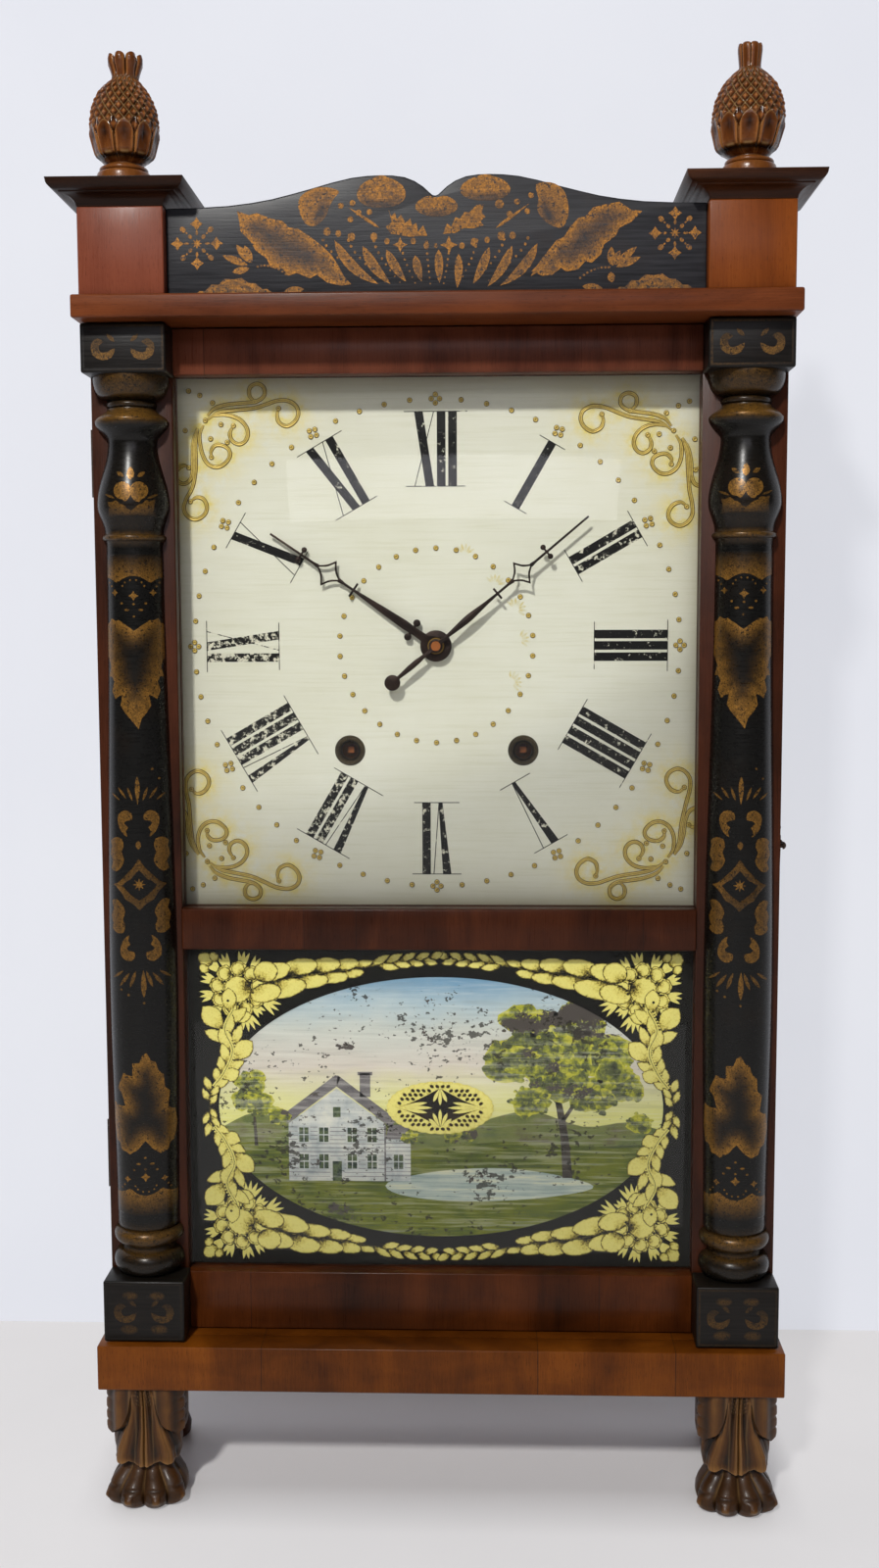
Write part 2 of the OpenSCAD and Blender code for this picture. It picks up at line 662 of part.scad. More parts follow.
module back_plate() {
    d = [back_plate_inset, back_plate_back];
    pivot = escape_rise + pivot_rise;
    color("tan") {
        difference() {
            plate_blank(d);
            shared_holes(d);
            arbor_hole([0, 0], [d[0], d[0] + 2], arbor_radius);
        }
        for (at = pillar_at) {
            arbor(at, [front_plate_back, back_plate_inset], 5);
            arbor(at, [front_plate_inset - 2, front_plate_back], 3.5);
        }
        block([dial_x - 14, dial_x + 14], [back_plate_back, back_inside - 1], [dial_z + pivot + 8, dial_z + pivot + 14]);
        block([dial_x - 5, dial_x + 5], [back_inside - 3, back_inside - 1], [dial_z + pivot - 4, dial_z + pivot + 9]);
        arbor([0, pivot], [pendulum_depth - 2, back_inside - 2], pivot_pin_radius);
    }
}

module movement_rails() {
    rail_half_width = 9;
    rail_centre = plate_half_width - 15;
    color("tan") for (side = [-1, 1]) block(
        [dial_x + side * rail_centre - rail_half_width, dial_x + side * rail_centre + rail_half_width],
        [back_plate_back, back_inside], [dial_z + plate_low, dial_z + plate_high]);
}

// Drum with flanges, ratchet wheel and square winding end, on an arbor between the plates.
module drum(side) {
    at = [side * winding_side, -winding_drop];
    color("burlywood") {
        arbor(at, [cord_depth - drum_half_length, cord_depth + drum_half_length], drum_radius);
        for (side = [-1, 1]) let (inner = side * drum_half_length, outer = side * (drum_half_length + flange_thickness))
            arbor(at, [cord_depth + min(inner, outer), cord_depth + max(inner, outer)], drum_radius + 3);
        arbor(at, [front_plate_inset - 1, back_plate_back], centre_arbor_radius);
    }
    color("gray") translate([dial_x + at[0] - 2, door_face_y + dial_inset + dial_thickness + 2, dial_z + at[1] - 2])
        cube([4, front_plate_inset - dial_inset - dial_thickness - 3, 4]);
}

module time_drum() {
    drum(1);
}

module strike_drum() {
    drum(-1);
    color("tan") difference() {
        spoked_gear([-winding_side, -winding_drop], great_layer, great_teeth, great_module, 0, 4);
        arbor([-winding_side, -winding_drop], [great_layer[0] - 1, great_layer[1] + 1], 1);
    }
}

module great_wheel() {
    turn = direction(winding_at, second_at);
    color("tan") difference() {
        spoked_gear(winding_at, great_layer, great_teeth, great_module, turn, 4);
        arbor_hole(winding_at, great_layer, centre_arbor_radius);
    }
}

module second_arbor() {
    pinion_turn = direction(second_at, winding_at) + 180 / second_leaves;
    wheel_turn = direction(second_at, [0, 0]);
    color("tan") {
        gear(second_at, great_layer, second_leaves, great_module, pinion_turn);
        gear(second_at, second_layer, second_teeth, second_module, wheel_turn);
        arbor(second_at, [front_plate_inset, back_plate_back], arbor_radius);
        arbor(second_at, [great_layer[1], second_layer[0]], 4);
    }
}

module centre_arbor() {
    pinion_turn = direction([0, 0], second_at) + 180 / centre_leaves;
    wheel_turn = direction([0, 0], third_at);
    cannon_turn = direction([0, 0], minute_wheel_at);
    front_end = dial_inset - 10.5;
    color("tan") {
        gear([0, 0], second_layer, centre_leaves, second_module, pinion_turn);
        spoked_gear([0, 0], centre_layer, train_teeth, train_module, wheel_turn, 4);
        arbor([0, 0], [second_layer[1], centre_layer[0]], 5);
        arbor([0, 0], [centre_layer[1], back_plate_inset + 1.5], arbor_radius);
    }
    color("goldenrod") {
        arbor([0, 0], [front_end, second_layer[0]], centre_arbor_radius);
        gear([0, 0], cannon_layer, cannon_teeth, cannon_module, cannon_turn);
    }
}

cannon_layer = [front_plate_inset - 4, front_plate_inset - 1];
hour_layer = [front_plate_inset - 8, front_plate_inset - 5.5];

module third_arbor() {
    pinion_turn = direction(third_at, [0, 0]) + 180 / train_leaves;
    wheel_turn = direction(third_at, escape_at);
    color("tan") {
        gear(third_at, centre_layer, train_leaves, train_module, pinion_turn);
        spoked_gear(third_at, third_layer, train_teeth, train_module, wheel_turn, 4);
        arbor(third_at, [front_plate_inset, back_plate_back], arbor_radius);
        arbor(third_at, [centre_layer[1], third_layer[0]], 4);
    }
}

// Saw-shaped teeth of the escape wheel.
function escape_points() = [for (i = [0:escape_teeth - 1]) let (p = 360 / escape_teeth, a = i * p)
    each [[(escape_radius - 3) * cos(a), (escape_radius - 3) * sin(a)],
        [escape_radius * cos(a + 0.1 * p), escape_radius * sin(a + 0.1 * p)],
        [(escape_radius - 3) * cos(a + 0.6 * p), (escape_radius - 3) * sin(a + 0.6 * p)]]];

module escape_wheel() {
    pinion_turn = direction(escape_at, third_at) + 180 / train_leaves;
    color("goldenrod") {
        plate(second_layer) translate([dial_x, dial_z + escape_rise]) difference() {
            polygon(escape_points());
            for (a = [45:90:315]) rotate(a) translate([9.4, 0]) circle(r = 4.2, $fn = round_steps);
        }
        gear(escape_at, third_layer, train_leaves, train_module, pinion_turn);
        arbor(escape_at, [front_plate_inset, back_plate_back], arbor_radius);
        arbor(escape_at, [second_layer[1], third_layer[0]], 3);
    }
}

// Anchor whose pallets pass just outside the escape wheel, with the crutch behind the back plate.
module verge() {
    pivot = escape_rise + pivot_rise;
    spread = 50;
    tip = escape_radius + 1.9;
    pallet = [[0, pivot + 4], [tip * sin(spread) + 3.4, escape_rise + tip * cos(spread) + 4],
        [tip * sin(spread), escape_rise + tip * cos(spread)],
        [tip * sin(spread) - 1.2, escape_rise + tip * cos(spread) + 3.6], [0, pivot - 3.6]];
    color("darkgray") {
        plate(second_layer) translate([dial_x, dial_z]) both_halves() polygon(pallet);
        arbor([0, pivot], [front_plate_inset, pendulum_depth - 2.5], arbor_radius);
        plate([back_plate_back + 0.5, back_plate_back + 2]) translate([dial_x, dial_z + pivot]) {
            translate([-2, -32]) square([4, 34]);
            translate([-4, -35]) square([8, 4]);
        }
        for (side = [-1, 1]) block([dial_x + side * 2.7 - 0.9, dial_x + side * 2.7 + 0.9],
            [back_plate_back + 0.5, pendulum_depth + 2], [dial_z + pivot - 35, dial_z + pivot - 32]);
    }
}

module minute_wheel() {
    wheel_turn = direction(minute_wheel_at, [0, 0]) + 180 / minute_wheel_teeth;
    pinion_turn = direction(minute_wheel_at, [0, 0]);
    color("goldenrod") difference() {
        union() {
            gear(minute_wheel_at, [cannon_layer[0] + 0.5, cannon_layer[1]], minute_wheel_teeth, cannon_module, wheel_turn);
            gear(minute_wheel_at, [hour_layer[0], cannon_layer[0] + 0.5], minute_pinion_leaves, hour_module, pinion_turn);
        }
        arbor_hole(minute_wheel_at, [hour_layer[0], cannon_layer[1]], 1.5);
    }
}

module hour_wheel() {
    turn = direction([0, 0], minute_wheel_at) + 180 / hour_wheel_teeth;
    color("goldenrod") difference() {
        union() {
            gear([0, 0], hour_layer, hour_wheel_teeth, hour_module, turn);
            arbor([0, 0], [dial_inset - 5.5, hour_layer[1]], hour_pipe_radius);
        }
        arbor_hole([0, 0], [dial_inset - 6, hour_layer[1]], centre_arbor_radius);
    }
}

// Hands.
module slab(t, outline) {
    linear_extrude(t) polygon(outline);
}

// Four-pointed figure with hollow sides.
function hollow_diamond(centre, half) = [for (q = [0:3]) for (i = [0:7]) let (t = i / 8,
    a = [cos(90 * q), sin(90 * q)], b = [cos(90 * q + 90), sin(90 * q + 90)],
    p = (a * (1 - t) + b * t) * half * (1 - 0.17 * sin(180 * t))) [p[0], centre + p[1]]];

// Pattern that both hands share: blade, crossbar, open diamond, crossed balls and a plain tip.
module hand_pieces(t, long, bar, bar_half, diamond, half, cross, blade) {
    near = diamond - half;
    far = diamond + half;
    slab(t, blade);
    translate([-bar_half, bar - 0.7, 0]) cube([2 * bar_half, 1.4, t]);
    difference() {
        slab(t, hollow_diamond(diamond, half + 0.6));
        translate([0, 0, -1]) slab(t + 2, hollow_diamond(diamond, half - 1.5));
    }
    slab(t, [[-0.8, bar - 1], [-0.8, near - 3], [-1.5, near + 1], [1.5, near + 1], [0.8, near - 3], [0.8, bar - 1]]);
    slab(t, [[-1.3, far - 0.8], [-0.8, far + 3], [-0.65, long], [0.65, long], [0.8, far + 3], [1.3, far - 0.8]]);
    translate([-3.6, cross - 0.6, 0]) cube([7.2, 1.2, t]);
    for (side = [-1, 1]) translate([side * 3.6, cross, 0]) cylinder(h = t, r = 1.7, $fn = round_steps);
}

// Turns a hand's pieces about the dial centre to the given clock angle, back face at a depth.
module on_dial(back, angle) {
    translate([dial_x, door_face_y + back, dial_z]) rotate([90, 0, 0]) rotate(-angle) children();
}

module minute_hand() {
    t = 1.2;
    back = dial_inset - 8.8;
    blade = [[-1.6, 2], [-1.1, 9], [-2.3, 24], [-2.3, 29], [-1.2, 42], [-0.8, 51], [0.8, 51], [1.2, 42], [2.3, 29],
        [2.3, 24], [1.1, 9], [1.6, 2]];
    tail = [[-1.6, -2], [-1, -7], [-1.8, -16], [-1.8, -21], [-0.9, -34], [0.9, -34], [1.8, -21], [1.8, -16],
        [1, -7], [1.6, -2]];
    color("dimgray") difference() {
        on_dial(back, minute_angle) {
            hand_pieces(t, minute_hand_length, 50.8, 4.1, 70.6, 8.2, 90.8, blade);
            slab(t, tail);
            cylinder(h = t, r = 4.4, $fn = round_steps);
            translate([0, -35.8, 0]) cylinder(h = t, r = 5, $fn = round_steps);
        }
        arbor([0, 0], [back - t - 1, back + 1], centre_arbor_radius);
    }
}

module hour_hand() {
    t = 1.4;
    back = dial_inset - 3.6;
    blade = [[-2.9, 7], [-2.4, 16], [-2.9, 24], [-2.2, 40], [-1.2, 56], [-0.8, 63], [0.8, 63], [1.2, 56], [2.2, 40],
        [2.9, 24], [2.4, 16], [2.9, 7]];
    color("black") difference() {
        on_dial(back, hour_angle) {
            hand_pieces(t, hour_hand_length, 62.8, 4.9, 81.7, 8.8, 102.5, blade);
            cylinder(h = t, r = 9.9, $fn = round_steps);
            translate([-5.2, 17.1, 0]) cube([10.4, 1.8, t]);
            for (side = [-1, 1]) translate([side * 5.2, 18, 0]) cylinder(h = t, r = 2.3, $fn = round_steps);
        }
        arbor([0, 0], [back - t - 1, back + 1], hour_pipe_radius);
    }
}

// Pendulum.
module pendulum_rod() {
    pivot = [0, escape_rise + pivot_rise];
    color("silver") {
        difference() {
            arbor(pivot, [pendulum_depth - 0.7, pendulum_depth + 0.7], 3);
            arbor_hole(pivot, [pendulum_depth - 0.7, pendulum_depth + 0.7], pivot_pin_radius);
        }
        post_rod(dial_x, pendulum_depth, [bob_z - bob_radius - 14, pivot_z - 2.2], 1);
    }
    color("goldenrod") post_rod(dial_x, pendulum_depth, [bob_z - bob_radius - 9, bob_z - bob_radius - 0.2], 4);
}

module pendulum_bob() {
    rim = 1.6;
    lens = [for (i = [0:10]) let (a = 9 * i) [bob_radius * sin(a), rim + (bob_thickness / 2 - rim) * cos(a)]];
    color("goldenrod") difference() {
        translate([dial_x, door_face_y + pendulum_depth, bob_z]) rotate([-90, 0, 0]) rotate_extrude($fn = round_steps)
            polygon(concat(lens, [for (i = [10:-1:0]) [lens[i][0], -lens[i][1]]]));
        post_rod(dial_x, pendulum_depth, [bob_z - bob_radius - 1, bob_z + bob_radius + 1], 1);
    }
}

// Bell and hammer.
bell_at = [bell_x, bell_drop];
bell_mouth = back_inside - 6;

module bell() {
    r = bell_radius;
    skin = 2.4;
    outer = [for (i = [0:8]) let (a = 10 * i) [r * sin(a), -20 * cos(a)]];
    inner = [for (i = [8:-1:0]) let (a = 10 * i) [(r - skin) * sin(a), (skin - 20) * cos(a)]];
    color("dimgray") {
        translate([dial_x + bell_at[0], door_face_y + bell_mouth, dial_z + bell_at[1]]) rotate([-90, 0, 0])
            rotate_extrude($fn = round_steps) polygon(concat(outer, [[r, 0], [r - skin, 0]], inner));
        arbor(bell_at, [bell_mouth - 23, back_inside + 4], bell_stud_radius);
        arbor(bell_at, [bell_mouth - 23, bell_mouth - 19.5], 5);
        arbor(bell_at, [bell_mouth - 18, bell_mouth - 14], 4.5);
        arbor(hammer_at, [bell_mouth - 12.5, back_inside + 4], hammer_stud_radius);
        arbor(hammer_at, [bell_mouth - 13, bell_mouth - 11.4], 3);
    }
}

// Hammer that hangs on its stud just clear of the bell.
module hammer() {
    depth = [bell_mouth - 11, bell_mouth - 3];
    arm_depth = bell_mouth - 7;
    color("gray") {
        difference() {
            union() {
                arbor(hammer_at, [depth[0], back_inside - 0.5], 4);
                post_rod(dial_x + hammer_at[0], arm_depth, [dial_z + bell_drop, dial_z + hammer_at[1]], 1);
            }
            arbor_hole(hammer_at, [depth[0], back_inside - 0.5], hammer_stud_radius);
        }
        arbor([hammer_at[0], bell_drop], depth, 5);
    }
}

// Weights, cords and pulleys.
module weight(side) {
    half = weight_width / 2;
    color("dimgray") {
        difference() {
            block([side * weight_x - half, side * weight_x + half], [cord_depth - half, cord_depth + half],
                [weight_bottom, weight_top]);
            for (z = [weight_bottom + 45, weight_bottom + 95]) block([side * weight_x - half - 1, side * weight_x + half + 1],
                [cord_depth - half - 1, cord_depth - half + 0.8], [z - 0.8, z + 0.8]);
        }
        post_rod(side * weight_x, cord_depth, [weight_top - 1, weight_top + 4], 2.4);
        translate([side * weight_x, door_face_y + cord_depth, weight_top + 7]) rotate([90, 0, 0])
            rotate_extrude($fn = round_steps) translate([3.4, 0]) circle(r = 1, $fn = round_steps);
    }
}

module time_weight() {
    weight(1);
}

module strike_weight() {
    weight(-1);
}

module cord_drop(side) {
    color("beige") post_rod(side * weight_x, cord_depth, [cord_bottom, pulley_z], cord_radius);
}

module time_cord_drop() {
    cord_drop(1);
}

module strike_cord_drop() {
    cord_drop(-1);
}

// Cord from the drum to the pulley and over its top, along the tangent of both: one unbroken tube
// through rings of points, each at a place of the path with the direction away from the bend's middle.
module cord_lead(side) {
    drum_at = [dial_x * side + winding_side, dial_z - winding_drop];
    pulley_at = [pulley_centre, pulley_z];
    run = pulley_at - drum_at;
    out = atan2(run[1], run[0]) + 90 - asin((drum_cord_radius - pulley_cord_radius) / norm(run));
    bends = 12;
    path = concat([[drum_at + drum_cord_radius * [cos(out), sin(out)], out]],
        [for (i = [0:bends]) let (a = out * (1 - i / bends)) [pulley_at + pulley_cord_radius * [cos(a), sin(a)], a]]);
    color("beige") mirror([side < 0 ? 1 : 0, 0, 0]) loft([for (p = path) [for (f = [0:30:330])
        let (r = cord_radius * cos(f)) [p[0][0] + r * cos(p[1]), door_face_y + cord_depth - cord_radius * sin(f),
            p[0][1] + r * sin(p[1])]]]);
}

module cord_leads() {
    cord_lead(1);
    cord_lead(-1);
}

module pulley(side) {
    r = pulley_rim_radius;
    g = pulley_groove_radius;
    profile = [[0, -3], [r, -3], [r, -2.2], [g, -1.3], [g, 1.3], [r, 2.2], [r, 3], [0, 3]];
    color("peru") {
        translate([side * pulley_centre, door_face_y + cord_depth, pulley_z]) rotate([-90, 0, 0])
            rotate_extrude($fn = round_steps) polygon(profile);
        rod(side * pulley_centre, pulley_z, [cord_depth - 8.5, cord_depth + 8.5], pulley_axle_radius);
    }
}

module right_pulley() {
    pulley(1);
}

module left_pulley() {
    pulley(-1);
}

// Door.
module rabbet(z) {
    block([-opening_half_width - rabbet_width, opening_half_width + rabbet_width], [glass_inset, door_thickness + 1],
        [z[0] - rabbet_width, z[1] + rabbet_width]);
}

module rabbets() {
    rabbet([bottom_rail_top, mid_rail_bottom]);
    rabbet([mid_rail_top, top_rail_bottom]);
}

module tenon(z) {
    inset = 5;
    block([-opening_half_width - tenon_length, opening_half_width + tenon_length], [2, 2 + tenon_thickness],
        [z[0] + inset, z[1] - inset]);
}

module tenons() {
    tenon([door_bottom, bottom_rail_top]);
    tenon([mid_rail_bottom, mid_rail_top]);
    tenon([top_rail_bottom, door_top]);
}

module stile() {
    difference() {
        block([opening_half_width, case_half_width], [0, door_thickness], [door_bottom, door_top]);
        rabbets();
        tenons();
    }
}

module left_stile() {
    color("saddlebrown") mirror([1, 0, 0]) stile();
}

module right_stile() {
    color("saddlebrown") difference() {
        stile();
        cross_rod([case_half_width - 8, case_half_width + 1], latch_pivot_depth - latch_reach, latch_z, latch_stud_radius);
    }
}

module rail(z) {
    color("saddlebrown") {
        difference() {
            block([-opening_half_width, opening_half_width], [-rail_proud, door_thickness], z);
            rabbets();
        }
        tenon(z);
    }
}

module top_rail() {
    rail([top_rail_bottom, door_top]);
}

module mid_rail() {
    rail([mid_rail_bottom, mid_rail_top]);
}

module bottom_rail() {
    rail([door_bottom, bottom_rail_top]);
}

module pane(z) {
    slack = 0.5;
    half = opening_half_width + rabbet_width - slack;
    color("lightblue", 0.5) block([-half, half], [glass_inset, glass_inset + glass_thickness],
        [z[0] - rabbet_width, z[1] + rabbet_width - slack]);
}

module dial_glass() {
    pane([mid_rail_top, top_rail_bottom]);
}

module tablet_glass() {
    pane([bottom_rail_top, mid_rail_bottom]);
}

// Four straight strips behind one pane, butted at the corners.
module glazing_strip(z) {
    d = [glass_inset + glass_thickness, door_thickness];
    outer = opening_half_width + rabbet_width;
    for (edge = [z[0] - rabbet_width, z[1]]) block([-outer, outer], d, [edge, edge + rabbet_width]);
    both_sides() block([opening_half_width, outer], d, [z[0] + 0.2, z[1] - 0.2]);
}

module glazing_strips() {
    color("tan") {
        glazing_strip([bottom_rail_top, mid_rail_bottom]);
        glazing_strip([mid_rail_top, top_rail_bottom]);
    }
}

// Turned profile from the lower block up to the upper block, as radius and height.
function column_outline() = let (r = column_radius, low = door_bottom + lower_block_height,
    high = door_top - upper_block_height)
    concat([[0, low], [r - 3, low]],
        bead(r - 5.5, low + 0.4, low + 15.4, 5.5, 12),
        [[r - 5.5, low + 18.4]],
        bead(r - 4.3, low + 20, low + 30, 4, 10),
        eased([r - 2.9, low + 31.5], [r - 1.2, low + 180], 10),
        eased([r - 1.2, low + 180], [r - 5.2, high - 100.4], 14),
        bead(r - 4.6, high - 99, high - 95, 1.8, 8),
        eased([r - 4.5, high - 94.4], [r - 0.4, high - 77], 10),
        eased([r - 0.4, high - 77], [r - 7.5, high - 39], 16),
        eased([r - 7.5, high - 39], [r, high - 27.4], 10),
        [[r, high - 27.4], [r, high - 26.2]],
        eased([r - 0.6, high - 26], [r - 7.6, high - 19], 6),
        bead(r - 8.4, high - 18.6, high - 14.8, 1.4, 6),
        [[r - 8.9, high - 14.2], [r - 5.8, high - 13]],
        [for (i = [0:7]) let (a = 90 * i / 7) [r - 5.8 + 6.5 * sin(a), high - 13 + 12.4 * (1 - cos(a))]],
        [[r + 0.7, high], [0, high]]);

module half_column() {
    reach = column_radius + 5;
    color("dimgray") intersection() {
        translate([column_centre, door_face_y, 0]) rotate_extrude($fn = round_steps) polygon(column_outline());
        block([column_centre - reach, column_centre + reach], [-reach, 0], [door_bottom, door_top]);
    }
}

module left_column() {
    mirror([1, 0, 0]) half_column();
}

module right_column() {
    half_column();
}

module block_pair(z) {
    color("black") both_sides() block([case_half_width - block_width, case_half_width], [-block_depth, 0], z);
}

module upper_blocks() {
    block_pair([door_top - upper_block_height, door_top]);
}

module lower_blocks() {
    block_pair([door_bottom, door_bottom + lower_block_height]);
}

// Hinges and latch.
module hinge_bore(z) {
    post_rod(hinge_axis_x, hinge_axis_depth, [z - 1, z + hinge_length + 1], hinge_pin_radius + running_clearance);
}

// Leaf on the outer face with its knuckles and the straps between them.
module hinge_leaf(d, z, knuckles) {
    strap = d[0] > hinge_axis_depth ? [hinge_axis_depth, d[0] + 1] : [d[1] - 1, hinge_axis_depth];
    block([-case_half_width - 1.2, -case_half_width], d, [z, z + hinge_length]);
    for (k = knuckles) {
        post_rod(hinge_axis_x, hinge_axis_depth, [z + k[0], z + k[1]], hinge_knuckle_radius);
        block([-case_half_width - 2, -case_half_width - 0.4], strap, [z + k[0], z + k[1]]);
    }
}

module case_hinges() {
    leaf = [hinge_axis_depth + 2.6, hinge_axis_depth + 14];
    color("gray") for (z = hinge_heights) {
        hinge_leaf(leaf, z, [[0, 12], [28, 40]]);
        post_rod(hinge_axis_x, hinge_axis_depth, [z, z + hinge_length], hinge_pin_radius);
    }
}

module door_hinges() {
    leaf = [hinge_axis_depth - 14, hinge_axis_depth - 2.6];
    color("gray") for (z = hinge_heights) difference() {
        hinge_leaf(leaf, z, [[12.4, 27.6]]);
        hinge_bore(z);
    }
}

module latch_hook() {
    notch = latch_stud_radius + 0.5;
    color("gray") {
        translate([latch_plate[0], door_face_y + latch_pivot_depth, latch_z]) rotate([90, 0, 90])
            linear_extrude(latch_plate[1] - latch_plate[0]) difference() {
                union() {
                    circle(r = 4, $fn = round_steps);
                    polygon([[-4, 0], [-3.2, 11], [-1.5, 12.6], [2.2, 12.6], [4, 11], [4, 0], [2.2, -12.6], [0, -14], [-2.2, -12.6]]);
                }
                for (a = [0:6:48]) rotate(a) translate([0, latch_reach]) circle(r = notch, $fn = 32);
            }
        cross_rod([case_half_width - 6, latch_plate[1] + 0.5], latch_pivot_depth, latch_z, latch_stud_radius);
        translate([latch_plate[1], door_face_y + latch_pivot_depth, latch_z]) rotate([0, 90, 0])
            rotate_extrude($fn = round_steps) polygon([[0, 0], [2.7, 0], [2.5, 0.9], [1.7, 1.7], [0.8, 2.1], [0, 2.2]]);
    }
}

module latch_stud() {
    neck = latch_plate[1] + 0.5;
    color("gray") {
        cross_rod([case_half_width - 7, neck + 0.5], latch_pivot_depth - latch_reach, latch_z, latch_stud_radius);
        translate([neck, door_face_y + latch_pivot_depth - latch_reach, latch_z]) rotate([0, 90, 0])
            rotate_extrude($fn = round_steps) polygon([[0, 0], [2.4, 0], [2.3, 0.7], [1.6, 1.5], [0.8, 1.9], [0, 2]]);
    }
}

base_front();
base_returns();
base_floor();
left_side();
right_side();
backboard();
top_board();
cornice();
posts();
caps();
left_finial();
right_finial();
splat();
left_paw_foot();
right_paw_foot();
rear_feet();
dial_board();
winding_collets();
movement_rails();
front_plate();
back_plate();
bell();
case_hinges();
time_drum();
strike_drum();
great_wheel();
second_arbor();
centre_arbor();
third_arbor();
escape_wheel();
verge();
minute_wheel();
hour_wheel();
pendulum_rod();
pendulum_bob();
hammer();
time_weight();
strike_weight();
time_cord_drop();
strike_cord_drop();
cord_leads();
right_pulley();
left_pulley();
hour_hand();
minute_hand();
latch_hook();
left_stile();
right_stile();
top_rail();
mid_rail();
bottom_rail();
dial_glass();
tablet_glass();
glazing_strips();
left_column();
right_column();
upper_blocks();
lower_blocks();
door_hinges();
latch_stud();
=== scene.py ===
"""Looks of the column and splat shelf clock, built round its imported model. Helpers work in millimetres in the
row frame: X to the viewer's right, Y to the back, Z up from the floor."""

import itertools
import math

import bmesh
import bpy
import numpy as np
from mathutils import Matrix, Vector
from mathutils.geometry import delaunay_2d_cdt


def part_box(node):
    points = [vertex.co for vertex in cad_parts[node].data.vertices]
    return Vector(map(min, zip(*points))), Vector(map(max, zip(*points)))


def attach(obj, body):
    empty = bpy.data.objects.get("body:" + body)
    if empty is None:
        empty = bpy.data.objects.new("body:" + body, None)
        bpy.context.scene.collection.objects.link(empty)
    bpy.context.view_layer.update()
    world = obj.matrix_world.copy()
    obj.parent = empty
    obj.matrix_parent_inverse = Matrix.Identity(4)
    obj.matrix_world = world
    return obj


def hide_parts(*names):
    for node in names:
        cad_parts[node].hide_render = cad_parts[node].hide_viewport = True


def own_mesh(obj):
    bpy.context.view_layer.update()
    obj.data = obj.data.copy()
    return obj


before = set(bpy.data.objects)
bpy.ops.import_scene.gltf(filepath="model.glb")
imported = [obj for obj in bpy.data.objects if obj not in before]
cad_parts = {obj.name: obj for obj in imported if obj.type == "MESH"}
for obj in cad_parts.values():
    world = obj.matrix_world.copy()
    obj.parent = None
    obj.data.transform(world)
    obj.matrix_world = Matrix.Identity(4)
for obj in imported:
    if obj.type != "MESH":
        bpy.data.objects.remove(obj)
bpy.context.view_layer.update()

MM = 0.001
TAU = 2 * math.pi


# Sizes in millimetres, read from the frame where it holds them. FINIAL_X, FOOT_X and COLUMN_X are places right of the
# middle; the left pieces stand opposite.
def node_box(node):
    low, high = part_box(node)
    return [v / MM for v in low], [v / MM for v in high]


DOOR_Y = node_box("left_stile")[0][1]
CORNICE_TOP = node_box("cornice")[1][2]
CAP_TOP = node_box("caps")[1][2]
FOOT_TOP = node_box("left_paw_foot")[1][2]
COLUMN_LOW, COLUMN_HIGH = (node_box("right_column")[i][2] for i in (0, 1))
DIAL_FRONT = node_box("dial_board")[0][1]
DIAL_X = -2.0
DIAL_Z = sum(node_box("hour_wheel")[i][2] for i in (0, 1)) / 2
GLASS_BACK = node_box("tablet_glass")[1][1]
FINIAL_X = 184.7
FINIAL_Y = sum(node_box("left_finial")[i][1] for i in (0, 1)) / 2
FOOT_X = 188.5
FOOT_Y = DOOR_Y - 10
COLUMN_X, COLUMN_R = 187.2, 22.5


def placed(name, data):
    """A new object in the scene that shows the data."""
    obj = bpy.data.objects.new(name, data)
    bpy.context.scene.collection.objects.link(obj)
    return obj


# Camera: solved from the outline of the case in the photograph.
CAMERA_AT = (33.44, -1020.12, 559.87)
CAMERA_LENS = 36.96
CAMERA_SENSOR = 36.0
CAMERA_PITCH, CAMERA_YAW, CAMERA_ROLL = (math.radians(a) for a in (5.65, -1.88, -0.19))

forward = Vector((math.sin(CAMERA_YAW) * math.cos(CAMERA_PITCH), math.cos(CAMERA_YAW) * math.cos(CAMERA_PITCH),
                  -math.sin(CAMERA_PITCH)))
level = Vector((math.cos(CAMERA_YAW), -math.sin(CAMERA_YAW), 0))
upward = level.cross(forward)
right = math.cos(CAMERA_ROLL) * level + math.sin(CAMERA_ROLL) * upward
up = math.cos(CAMERA_ROLL) * upward - math.sin(CAMERA_ROLL) * level
camera = placed("camera", bpy.data.cameras.new("camera"))
camera.data.lens = CAMERA_LENS
camera.data.sensor_width = CAMERA_SENSOR
camera.data.sensor_fit = "AUTO"
camera.data.clip_end = 20
camera.matrix_world = Matrix((
    (right.x, up.x, -forward.x, CAMERA_AT[0] * MM),
    (right.y, up.y, -forward.y, CAMERA_AT[1] * MM),
    (right.z, up.z, -forward.z, CAMERA_AT[2] * MM),
    (0, 0, 0, 1)))
bpy.context.scene.camera = camera
bpy.context.scene.view_settings.view_transform = "Standard"


# Materials.
def rgb(red, green, blue):
    """A colour as read on a screen, made linear."""
    return tuple(((c / 255 + 0.055) / 1.055) ** 2.4 if c > 10 else c / 255 / 12.92 for c in (red, green, blue)) + (1,)


class Value:
    """What a node of a material gives, on which the usual signs work."""

    def __init__(self, graph, socket):
        self.graph, self.socket = graph, socket

    def __add__(self, other):
        return self.graph.math("ADD", self, other)

    def __sub__(self, other):
        return self.graph.math("SUBTRACT", self, other)

    def __rsub__(self, other):
        return self.graph.math("SUBTRACT", other, self)

    def __mul__(self, other):
        return self.graph.math("MULTIPLY", self, other)


